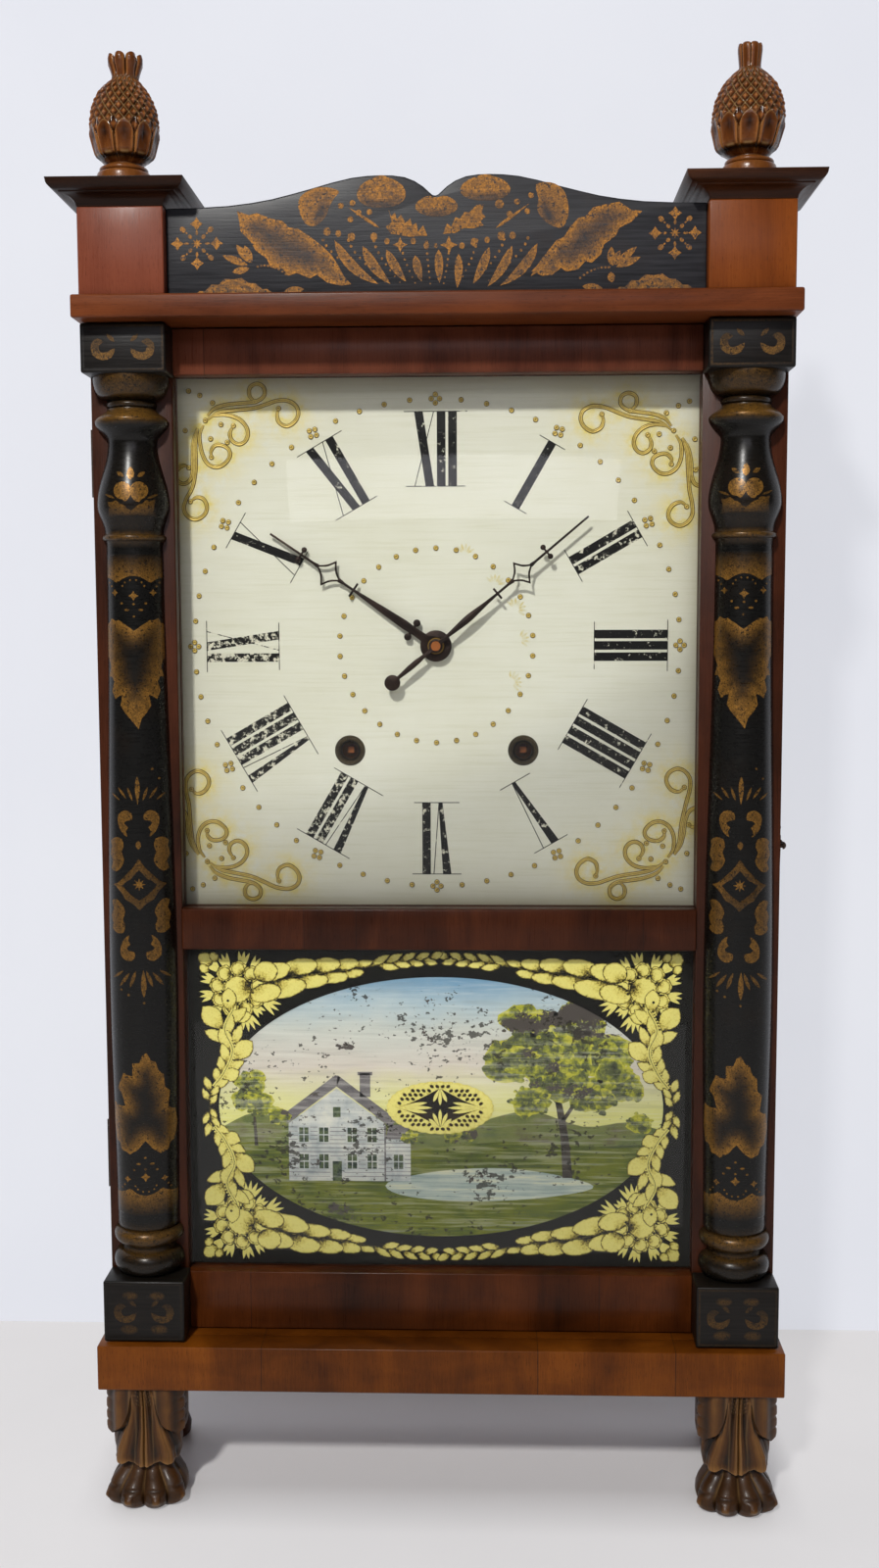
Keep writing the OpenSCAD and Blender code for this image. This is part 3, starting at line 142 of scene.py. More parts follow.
class Graph:
    """A material's nodes, written as expressions: each call returns the value that the next one reads."""

    def __init__(self, name):
        self.material = bpy.data.materials.new(name)
        self.material.use_nodes = True
        self.tree = self.material.node_tree
        self.tree.nodes.clear()
        self.out = self.tree.nodes.new("ShaderNodeOutputMaterial")

    def put(self, socket, value):
        if isinstance(value, Value):
            self.tree.links.new(value.socket, socket)
        elif value is not None:
            socket.default_value = value

    def node(self, kind, inputs=None, **settings):
        made = self.tree.nodes.new("ShaderNode" + kind)
        for key, value in settings.items():
            setattr(made, key, value)
        for key, value in (inputs or {}).items():
            self.put(made.inputs[key], value)
        return made

    def read(self, kind, inputs=None, output=0, **settings):
        return Value(self, self.node(kind, inputs, **settings).outputs[output])

    def noise(self, scale, detail=4, roughness=0.5, distortion=0.0, shift=(0, 0, 0), stretch=(1, 1, 1)):
        at = self.read("TexCoord", output="Object")
        at = self.read("Mapping", {"Vector": at, "Location": shift, "Scale": stretch})
        return self.read("TexNoise", {"Vector": at, "Scale": scale, "Detail": detail, "Roughness": roughness,
                                      "Distortion": distortion})

    def math(self, operation, a, b=None, clamp=False):
        return self.read("Math", {0: a, 1: b}, operation=operation, use_clamp=clamp)

    def span(self, value, low, high, to_low=0.0, to_high=1.0):
        """value from low..high to to_low..to_high, held at the ends."""
        return self.read("MapRange", {"Value": value, "From Min": low, "From Max": high, "To Min": to_low,
                                      "To Max": to_high}, clamp=True)

    def mix(self, share, a, b, blend="MIX"):
        return self.read("Mix", {0: share, 6: a, 7: b}, 2, data_type="RGBA", blend_type=blend, clamp_factor=True)

    def ramp(self, value, stops):
        made = self.node("ValToRGB", {"Fac": value})
        while len(made.color_ramp.elements) < len(stops):
            made.color_ramp.elements.new(0.5)
        for element, (at, colour) in zip(made.color_ramp.elements, stops):
            element.position = at
            element.color = colour
        return Value(self, made.outputs[0])

    def value(self, name):
        """The piece's own number of that name at each point."""
        return self.read("Attribute", output="Fac", attribute_name=name)

    def axis(self, index):
        return self.read("SeparateXYZ", {0: self.read("TexCoord", output="Object")}, index)

    def bump(self, height, distance, normal=None):
        return self.read("Bump", {"Height": height, "Distance": distance * MM, "Strength": 1.0, "Normal": normal})

    def principled(self, **values):
        return self.read("BsdfPrincipled", {key.replace("_", " "): value for key, value in values.items()})

    def show(self, shader):
        self.put(self.out.inputs["Surface"], shader)
        return self.material

    def surface(self, **values):
        return self.show(self.principled(**values))


SEAM_HALF, SEAM_COLOUR = 0.25, (0.012, 0.006, 0.004, 1)


def wood(name, tones, along="Z", shift=0.0, figure=24.0, gloss=0.34, seams=(), coat=0.06, ripple=0.5):
    """Old shellacked wood: figure, fibres, short pores and, for veneer, leaves that meet at seams (mm, tone)."""
    g = Graph(name)
    dark, middle, light = (rgb(*tone) for tone in tones)
    offset = (shift, shift * 0.7, shift * 1.3)

    def stretched(grain, others=1.0):
        return tuple(grain if axis == along else others for axis in "XYZ")

    fibre = g.noise(1400, 5, 0.65, shift=offset, stretch=stretched(0.03))
    band = g.noise(figure, 5, 0.55, 1.4, shift=offset, stretch=stretched(0.22))
    cloud = g.noise(9, 3, shift=offset)
    pore = g.noise(2300, 2, 0.5, shift=offset, stretch=stretched(0.09))
    flame = g.noise(70, 3, 0.5, 0.6, shift=offset, stretch=stretched(1.0, 0.35))
    tone = band * 0.75 + fibre * 0.30 + (flame - 0.5) * (0.28 * ripple) + (cloud - 0.5) * 0.45
    colour = g.ramp(tone, [(0.30, dark), (0.52, middle), (0.76, light)])
    colour = g.mix(g.span(pore, 0.60, 0.72, 0, 0.55), colour, tuple(c * 0.35 for c in dark[:3]) + (1,))
    for at, shade in seams:
        where = g.axis(0)
        beyond = g.math("GREATER_THAN", where, at * MM)
        colour = g.mix(beyond, colour, (shade, shade, shade, 1), "MULTIPLY")
        line = g.math("LESS_THAN", g.math("ABSOLUTE", where - at * MM), SEAM_HALF * MM)
        colour = g.mix(line * 0.75, colour, SEAM_COLOUR)
    bump = g.bump(fibre + pore * -0.6, 0.05)
    bump = g.bump(g.noise(14, 3, shift=offset), 0.35, bump)
    return g.surface(Base_Color=colour, Roughness=g.span(fibre, 0.3, 0.75, gloss - 0.06, gloss + 0.14), Normal=bump,
                     Coat_Weight=coat, Coat_Roughness=0.2, IOR=1.22)


def carved(name, tones, gloss):
    """Carved wood: paler and redder where its 'high' value is high, with painted shade in the cuts and under the
    leaves.
    """
    g = Graph(name)
    dark, middle, light = (rgb(*tone) for tone in tones)
    fibre = g.noise(1300, 5, 0.6, stretch=(1, 1, 0.06))
    cloud = g.noise(60, 4, 0.6)
    tone = g.value("high") * 0.62 + cloud * 0.34 + fibre * 0.16
    colour = g.ramp(tone, [(0.22, dark), (0.55, middle), (0.86, light)])
    colour = g.mix(g.value("line") * 0.9, colour, rgb(150, 116, 74))
    # Painted shade: near black in the cuts, in the hollows and under the leaves.
    colour = g.mix(g.value("hollow_shade"), colour, rgb(12, 6, 3))
    bump = g.bump(fibre, 0.06)
    bump = g.bump(g.noise(420, 3), 0.12, bump)
    return g.surface(Base_Color=colour, Roughness=g.span(cloud, 0.3, 0.7, gloss - 0.08, gloss + 0.12), Normal=bump,
                     Coat_Weight=0.12, Coat_Roughness=0.2, IOR=1.3)


def lacquer(name, gold, ground, gloss, brush=0.0, rub=0.5, coat=0.3):
    """Black paint under varnish, with bronze powder where the piece's 'gilt' value says, rubbed away in specks."""
    g = Graph(name)
    fine = g.noise(1100, 4, 0.65)
    streak = g.noise(700, 4, 0.6, stretch=(0.05, 1, 1))
    worn = g.noise(260, 6, 0.72, shift=(0.3, 0.1, 0.2))
    patch = g.noise(34, 4, 0.6, shift=(0.7, 0.2, 0.5))
    pits = g.noise(620, 3, 0.5, shift=(0.5, 0.8, 0.1))
    specks = g.span(worn * 0.8 + patch * 0.2, 0.50, 0.66, 0, rub)
    specks = g.math("MAXIMUM", specks, g.span(pits, 0.60, 0.64, 0, 0.9))
    amount = g.math("MULTIPLY", g.value("gilt"), 1.0 - specks, clamp=True)
    amount = g.math("MULTIPLY", amount, g.span(fine, 0.25, 0.7, 0.55, 1.1), clamp=True)
    black = g.mix(g.span(streak, 0.35, 0.75), rgb(*ground), rgb(*(c * 1.25 + 3 + 10 * brush for c in ground)))
    black = g.mix(g.span(patch, 0.55, 0.8, 0, 0.6), black, rgb(*(c + warm for c, warm in zip(ground, (14, 7, 1)))))
    bronze = g.mix(g.span(fine, 0.3, 0.75), rgb(*(c * 0.62 for c in gold)), rgb(*gold))
    bump = g.bump(streak * (0.4 + brush) + fine * 0.25, 0.05 + 0.10 * brush)
    bump = g.bump(g.noise(22, 3), 0.15, bump)
    return g.surface(Base_Color=g.mix(amount, black, bronze), Metallic=amount * 0.45,
                     Roughness=g.span(streak, 0.3, 0.8, gloss - 0.04, gloss + 0.12) + amount * 0.12, Normal=bump,
                     Coat_Weight=coat * 0.6, Coat_Roughness=0.25, IOR=1.27)


def metal(name, colour, tarnish, gloss, grain=900.0, metallic=0.85, pits=0.05):
    g = Graph(name)
    cloud = g.noise(45, 5, 0.6)
    fine = g.noise(grain, 4, 0.6)
    mixed = g.mix(g.span(cloud * 0.7 + fine * 0.3, 0.38, 0.66), rgb(*colour), rgb(*tarnish))
    return g.surface(Base_Color=mixed, Metallic=metallic, Roughness=g.span(fine, 0.3, 0.7, gloss, gloss + 0.22),
                     Normal=g.bump(fine, pits), IOR=1.5)


def clear_glass(name, tint):
    """Old thin glass: mostly clear, with the reflection that its angle gives."""
    g = Graph(name)
    waves = g.bump(g.noise(9, 2), 0.06)
    through = g.read("BsdfTransparent", {"Color": tint})
    shine = g.read("BsdfGlossy", {"Color": (1, 1, 1, 1), "Roughness": 0.03, "Normal": waves})
    facing = g.read("Fresnel", {"IOR": 1.45, "Normal": waves})
    return g.show(g.read("MixShader", {0: facing * 0.55, 1: through, 2: shine}))


def paint(name, first, second, scale=60.0, gloss=0.5, stain=None, lines=0.0, flakes=None, flake_share=0.62, bump=0.03,
          ior=1.45):
    """Aged paint of two close tones, with an optional stain from the piece's 'stain' value and lost flakes."""
    g = Graph(name)
    cloud = g.noise(scale * 0.3, 5, 0.6)
    fine = g.noise(scale * 16, 4, 0.6)
    brush = g.noise(650, 4, 0.6, stretch=(0.03, 1, 1))
    colour = g.mix(g.span(cloud * 0.7 + brush * 0.3, 0.36, 0.66), rgb(*first), rgb(*second))
    if lines:
        shade = 1 - lines
        colour = g.mix(g.span(brush, 0.52, 0.72), colour, (shade, shade, shade * 0.97, 1), "MULTIPLY")
    if stain:
        ragged = g.value("stain") * g.span(g.noise(150, 5, 0.7), 0.3, 0.62)
        colour = g.mix(ragged, colour, rgb(*stain))
        colour = g.mix(g.value("edge_brown"), colour, rgb(120, 100, 62))
    if flakes:
        lost = g.noise(230, 6, 0.75, shift=(0.4, 0.3, 0.9)) + g.value("wear") * 0.12
        colour = g.mix(g.span(lost, flake_share, flake_share + 0.015), colour, rgb(*flakes))
    return g.surface(Base_Color=colour, Roughness=g.span(fine, 0.3, 0.7, gloss - 0.06, gloss + 0.1),
                     Normal=g.bump(fine + brush * 0.8, bump), IOR=ior)


# Pieces.
def shade(mesh, angle):
    mesh.shade_smooth()
    mesh.set_sharp_from_angle(angle=math.radians(angle))


def finish_piece(name, mesh, material, body, slot, angle, replaced=()):
    mesh.materials.clear()
    mesh.materials.append(material)
    shade(mesh, angle)
    obj = placed(name, mesh)
    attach(obj, body)
    if replaced:
        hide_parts(*replaced)
    return obj


def mesh_from(name, points, faces):
    """A mesh from points in millimetres."""
    mesh = bpy.data.meshes.new(name)
    mesh.from_pydata([tuple(c * MM for c in p) for p in points], [], [tuple(f) for f in faces])
    return mesh


def piece(name, points, faces, material, body, slot, angle=35.0, replaced=(), values=None):
    """values are named numbers for each point, which the material reads."""
    mesh = mesh_from(name, points, faces)
    mesh.update()
    for key, numbers in (values or {}).items():
        mesh.attributes.new(key, "FLOAT", "POINT").data.foreach_set("value", np.asarray(numbers, np.float32))
    return finish_piece(name, mesh, material, body, slot, angle, replaced)


FLAT_ANGLE, ARRIS_ANGLE, JOIN_GAP = math.radians(0.6), math.radians(28), 0.01


def dressed(node, material, slot, body, edge=0.6, segments=2, fit=None, side=0, name=None):
    """The node's own shape with its arrises worn round, in place of the node.

    fit moves its points first. side keeps only the half of it that lies on that side."""
    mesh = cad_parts[node].data.copy()
    work = bmesh.new()
    work.from_mesh(mesh)
    for point in work.verts if fit else ():
        point.co = fit(point.co)
    bmesh.ops.delete(work, geom=[v for v in work.verts if v.co.x * side < 0], context="VERTS")
    bmesh.ops.remove_doubles(work, verts=work.verts, dist=JOIN_GAP * MM)
    bmesh.ops.dissolve_limit(work, angle_limit=FLAT_ANGLE, verts=work.verts, edges=work.edges)
    sharp = [e for e in work.edges if len(e.link_faces) == 2 and e.calc_face_angle(0) > ARRIS_ANGLE]
    bmesh.ops.bevel(work, geom=sharp, offset=edge * MM, segments=segments, profile=0.5, affect="EDGES",
                    clamp_overlap=True)
    work.to_mesh(mesh)
    work.free()
    return finish_piece(name or node + "_dressed", mesh, material, body, slot, 40, (node,))


def finish_node(node, material):
    """A node whose shape is right keeps it and gets its material."""
    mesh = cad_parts[node].data
    mesh.materials.clear()
    mesh.materials.append(material)


def grid_faces(rings, columns, closed=True):
    """Quads between rings of points, each ring with the same number of columns."""
    return [(j * columns + i, j * columns + (i + 1) % columns, (j + 1) * columns + (i + 1) % columns,
             (j + 1) * columns + i)
            for j in range(rings - 1) for i in range(columns if closed else columns - 1)]


def end_faces(rings, columns):
    """The first ring and the last as one face each."""
    return [tuple(range(columns)), tuple((rings - 1) * columns + i for i in range(columns))]


def ring(count):
    """The angles of that many even steps round a circle."""
    return np.linspace(0, TAU, count, endpoint=False)


def polar(x, y, reach, turn):
    """The point at that reach and angle from x, y."""
    return x + reach * math.cos(turn), y + reach * math.sin(turn)


def ahead_of(line):
    """The direction of a line at each of its points."""
    ahead = np.gradient(line, axis=0)
    return ahead / (np.linalg.norm(ahead, axis=1, keepdims=True) + 1e-9)


CORD_STRANDS, CORD_LAY, CORD_SIDES, CORD_STEP = 3, 5.0, 18, 0.7


def cord_tube(path, radius):
    """A twisted cord along the points of one path: its outline bulges over each strand, which winds once a lay."""
    path = np.asarray(path, float)
    run = np.concatenate([[0], np.cumsum(np.linalg.norm(np.diff(path, axis=0), axis=1))])
    at = np.linspace(0, run[-1], max(8, int(run[-1] / CORD_STEP)))
    line = np.stack([np.interp(at, run, path[:, i]) for i in range(3)], 1)
    ahead = ahead_of(line)
    side = np.cross(ahead, (0, 1, 0))
    side /= np.linalg.norm(side, axis=1, keepdims=True)
    other = np.cross(ahead, side)
    angles = ring(CORD_SIDES)
    points = []
    for i in range(len(at)):
        turn = TAU * at[i] / CORD_LAY
        r = radius * (0.80 + 0.20 * np.abs(np.cos(CORD_STRANDS * (angles - turn) / 2)))
        points.extend(line[i] + np.outer(r * np.cos(angles), side[i]) + np.outer(r * np.sin(angles), other[i]))
    first, last = end_faces(len(at), CORD_SIDES)
    return points, grid_faces(len(at), CORD_SIDES) + [first[::-1], last]


def joined(parts):
    """One list of points and one of faces from several parts."""
    points, faces = [], []
    for more, their_faces in parts:
        faces += [tuple(len(points) + i for i in face) for face in their_faces]
        points += list(more)
    return points, faces


# Cords.
CORD_RADIUS, KNOT_RADIUS, KNOT_TALL, WEIGHT_TRAVEL = 0.8, 0.75, 4.2, 430
WRAP_RADIUS, WRAP_DROP, WRAP_STEP, WRAP_LEAN = 1.5, 0.9, 1.25, 0.5
LOOP_WIDE, LOOP_TALL, LOOP_DROP = 1.9, 3.1, 6.3
cord_look = paint("cord_fibre", (196, 178, 140), (168, 148, 108), 90, 0.75, bump=0.12)
PULLEY_X, PULLEY_Z, CORD_Y = 173.0, 729.0, DOOR_Y + 61
DRUM_CORD_RADIUS, PULLEY_CORD_RADIUS = 17.1, 9.8
WINDING_SIDE, WINDING_DROP = 55.3, 66.5
for side, weight in ((1, "time"), (-1, "strike")):
    top = (side * (PULLEY_X + PULLEY_CORD_RADIUS), CORD_Y, PULLEY_Z)
    foot = (top[0], CORD_Y, node_box(weight + "_weight")[1][2] + KNOT_TALL)
    # Three wraps round the cord, over a loop through the weight's ring.
    loops = [[(*polar(foot[0], CORD_Y, WRAP_RADIUS, a), foot[2] - WRAP_DROP - WRAP_STEP * i + WRAP_LEAN * math.sin(a))
              for a in np.linspace(0, TAU, 25)] for i in range(3)]
    loops.append([(foot[0], CORD_Y + LOOP_WIDE * math.sin(a), foot[2] - LOOP_DROP - LOOP_TALL * math.cos(a))
                  for a in np.linspace(0, TAU, 33)])
    piece(weight + "_cord_knot", *joined(cord_tube(loop, KNOT_RADIUS) for loop in loops), cord_look,
          weight + "_weight", "cord")
    drop = piece(weight + "_drop_cord", *cord_tube([top, foot], CORD_RADIUS), cord_look, "case", "cord",
                 replaced=(weight + "_cord_drop",))
    tuple(c * MM for c in top)
    (top[2] - foot[2] - WEIGHT_TRAVEL) / (top[2] - foot[2])
    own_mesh(drop)
leads = []
for side in (1, -1):
    drum = (DIAL_X * side + WINDING_SIDE, DIAL_Z - WINDING_DROP)
    run = (PULLEY_X - drum[0], PULLEY_Z - drum[1])
    out = (math.atan2(run[1], run[0]) + math.pi / 2
           - math.asin((DRUM_CORD_RADIUS - PULLEY_CORD_RADIUS) / math.hypot(*run)))
    path = [polar(*drum, DRUM_CORD_RADIUS, out)]
    path += [polar(PULLEY_X, PULLEY_Z, PULLEY_CORD_RADIUS, out * (1 - i / 24)) for i in range(25)]
    leads.append(cord_tube([(side * x, CORD_Y, z) for x, z in path], CORD_RADIUS))
piece("lead_cords", *joined(leads), cord_look, "case", "cord", replaced=("cord_leads",))

# Case boards.
mahogany_base = wood("mahogany_base", ((62, 28, 4), (97, 49, 7), (128, 69, 14)), "Z", 0.3, 16, 0.36, ripple=0.9,
                     seams=((-112, 0.92), (62, 1.1), (148, 0.93)))
mahogany_side = wood("mahogany_side", ((40, 18, 8), (62, 29, 13), (84, 41, 19)), "Z", 1.7, 26, 0.38)
mahogany_cornice = wood("mahogany_cornice", ((70, 32, 14), (104, 52, 24), (132, 70, 34)), "X", 2.9, 18, ripple=0.2)
mahogany_cap = wood("mahogany_cap", ((26, 12, 4), (44, 21, 8), (76, 40, 17)), "X", 3.7, 22, 0.36, ripple=0.2)
# The left post's veneer is a pinker copy of the right's: painted glare.
veneer_left_post_glare = wood("veneer_left_post_glare", ((84, 38, 24), (112, 56, 38), (132, 70, 48)), "Z", 4.1, 14, 0.30,
                        ripple=0.3)
veneer_right_post = wood("veneer_right_post", ((84, 38, 10), (118, 58, 17), (144, 76, 26)), "Z", 5.3, 14, 0.32,
                         ripple=0.3)
veneer_stile = wood("veneer_stile", ((34, 15, 7), (58, 27, 13), (80, 39, 20)), "Z", 6.1, 22, 0.33)
veneer_top = wood("veneer_top", ((70, 33, 22), (102, 54, 36), (124, 68, 46)), "Z", 7.3, 30, 0.30, ripple=0.4,
                  seams=((-142, 0.82),))
veneer_middle = wood("veneer_middle", ((36, 15, 6), (60, 27, 11), (82, 40, 18)), "Z", 8.7, 26, 0.30, ripple=0.7,
                     seams=((-85, 0.85), (-52, 1.1), (128, 1.15)))
veneer_bottom = wood("veneer_bottom", ((40, 17, 5), (68, 31, 8), (94, 46, 15)), "Z", 9.9, 20, 0.30, ripple=0.9,
                     seams=((-122, 0.9), (102, 1.1)))
pine = wood("pine", ((150, 112, 66), (182, 142, 92), (204, 168, 116)), "Z", 3.3, 12, 0.62, coat=0.0)
oak = wood("oak", ((112, 74, 34), (146, 100, 52), (170, 124, 70)), "X", 2.2, 16, 0.5, coat=0.05)
cherry = wood("cherry", ((112, 60, 28), (146, 84, 44), (166, 102, 58)), "Z", 1.2, 20, 0.45, coat=0.05)

dressed("base_front", mahogany_base, "case_mahogany", "case", 0.9)
dressed("base_returns", mahogany_side, "case_mahogany", "case", 0.9)
dressed("left_side", mahogany_side, "case_mahogany", "case", 0.8)
dressed("right_side", mahogany_side, "case_mahogany", "case", 0.8)
dressed("cornice", mahogany_cornice, "case_mahogany", "case", 1.4, 3)
dressed("caps", mahogany_cap, "case_mahogany", "case", 0.5)

# The photograph shows both openings of the door 2 to 5 mm larger each way than the nodes have them. Each pair is a
# node's place and the place where it shows.
ACROSS = ((-212.5, -212.5), (-177.5, -179), (-162.5, -167.1), (-157.5, -162.2), (157.5, 161), (162.5, 165.9),
          (177.5, 178.5), (212.5, 212.5))
UPWARD = ((108, 108), (145.4, 141), (150.4, 145.9), (358.2, 356.2), (363.2, 361.2), (379.2, 377.2), (384.2, 382.2),
          (709.3, 712), (714.3, 717), (734.6, 736), (739.6, 739.6))


def shown(at):
    return Vector((np.interp(at.x / MM, *zip(*ACROSS)) * MM, at.y, np.interp(at.z / MM, *zip(*UPWARD)) * MM))


for node, look in (("left_stile", veneer_stile), ("right_stile", veneer_stile), ("top_rail", veneer_top),
                   ("mid_rail", veneer_middle), ("bottom_rail", veneer_bottom)):
    dressed(node, look, "door_veneer", "door", 0.8, fit=shown)
for node in ("backboard", "top_board", "movement_rails"):
    finish_node(node, pine)
finish_node("base_floor", mahogany_base)
dressed("glazing_strips", mahogany_side, "white_pine", "door", 0.3, fit=shown)
for node in ("front_plate", "back_plate"):
    finish_node(node, oak)
for node in ("time_drum", "strike_drum", "great_wheel", "second_arbor", "third_arbor", "centre_arbor",
             "right_pulley", "left_pulley"):
    finish_node(node, cherry)
dressed("rear_feet", mahogany_side, "carved_mahogany", "case", 0.3)
dressed("posts", veneer_left_post_glare, "post_veneer", "case", 0.9, 3, side=-1, name="left_post")
dressed("posts", veneer_right_post, "post_veneer", "case", 0.9, 3, side=1, name="right_post")

# Metalwork.
brass = metal("brass", (150, 120, 60), (92, 70, 34), 0.32)
dark_brass = metal("dark_brass", (84, 72, 48), (40, 34, 26), 0.3)
iron = metal("iron", (70, 56, 46), (36, 26, 20), 0.45, pits=0.12)
blued = metal("blued_steel", (52, 38, 34), (24, 18, 18), 0.32, 300, 0.7)
lead_metal = metal("cast_weight_metal", (92, 92, 94), (58, 56, 56), 0.55, 260, 0.6, 0.3)
for node in ("escape_wheel", "minute_wheel", "hour_wheel", "pendulum_bob"):
    finish_node(node, brass)
finish_node("winding_collets", dark_brass)
for node in ("bell", "hammer", "verge", "pendulum_rod", "case_hinges", "door_hinges", "latch_stud"):
    finish_node(node, iron)
dressed("latch_hook", iron, "iron", "latch", 0.3)
dressed("time_weight", lead_metal, "cast_weight", "time_weight", 1.0)
dressed("strike_weight", lead_metal, "cast_weight", "strike_weight", 1.0)
dressed("hour_hand", blued, "blued_hand", "hour_wheel", 0.35)
dressed("minute_hand", blued, "blued_hand", "centre_arbor", 0.35)
glass = clear_glass("old_glass", (0.985, 0.985, 0.96, 1))
dressed("dial_glass", glass, "glass", "door", 0.15, fit=shown)
dressed("tablet_glass", glass, "reverse_painted_glass", "door", 0.15, fit=shown)


# Carving and turning. Lists of sizes are in millimetres: height first, then radius or half width and reaches.
def lerp(keys, at, column=1):
    """The column's value at a height, between the rows of keys."""
    table = np.asarray(keys, float)
    return np.interp(at, table[:, 0], table[:, column])


def unit(value):
    """The value held between 0 and 1."""
    return np.clip(value, 0, 1)


def near(value, middle, spread):
    """1 at middle, falling softly to 0 over a few spreads."""
    return np.exp(-((value - middle) / spread) ** 2)


def bead(radius, low, high, bulge, steps=14):
    """A round moulding from low to high, as radius and height."""
    return [(radius + bulge * math.sin(a), (low + high) / 2 - (high - low) / 2 * math.cos(a))
            for a in np.linspace(0, math.pi, steps)]


def eased(start, end, steps):
    """A line that leaves start and meets end upright, as radius and height."""
    return [(start[0] + (end[0] - start[0]) * (1 - math.cos(math.pi * t)) / 2, start[1] + (end[1] - start[1]) * t)
            for t in np.linspace(0, 1, steps)]


def carving(name, rows, turns, place, look, ends=False):
    """A carved piece in place of its node, from rows of radius, height, how high and how lined it is there, and its
    painted shade.
    """
    r, z, high, line, hollow_shade = (np.concatenate([np.broadcast_to(row[i], len(turns)) for row in rows]) for i in range(5))
    faces = grid_faces(len(rows), len(turns)) + (end_faces(len(rows), len(turns)) if ends else [])
    piece(name + "_carved", place(r, np.radians(np.tile(turns, len(rows))), z), faces, look, "case",
          "carved_mahogany", 50, (name,), {"high": high, "line": line, "hollow_shade": hollow_shade})


carved_look = carved("carved_mahogany", ((28, 12, 4), (98, 52, 18), (160, 100, 46)), 0.22)
carved_feet_look = carved("carved_feet", ((24, 14, 6), (80, 48, 17), (128, 88, 42)), 0.43)
BODY_KEYS = ((16.2, 10.8), (17.7, 13.6), (20, 16), (22.5, 17.5), (27, 18.8), (33, 20.4), (36, 20.7), (40, 20.3),
             (45, 19.8), (49, 18.9), (53.5, 17.1), (58, 14.6), (62.3, 11.2), (66.6, 6.8))
FLARED_CROWN = ((66.6, 8), (69.6, 8.6), (72, 9.4), (74.5, 10.3), (77, 10.4), (79.4, 9.8))
STUB_CROWN = ((66.6, 6.5), (69, 6.5), (73, 6.9), (77, 7.3), (79, 7.3), (80.6, 6.9))
FINIAL_LEAVES, FINIAL_DIAMONDS, LATTICE_LOW, LATTICE_STEP = 10, 20, 28.0, 1.8
BODY_LOW, BODY_HIGH, CROWN_LOW, LEAF_FOOT = 16.2, 66.4, 66.9, 20.6
# Heights of the leaves at their tips, and how far their edges fall below them.
LEAF_TIP, LEAF_FALL, BACK_TIP, BACK_FALL = 38.5, 9.5, 41.0, 13.0


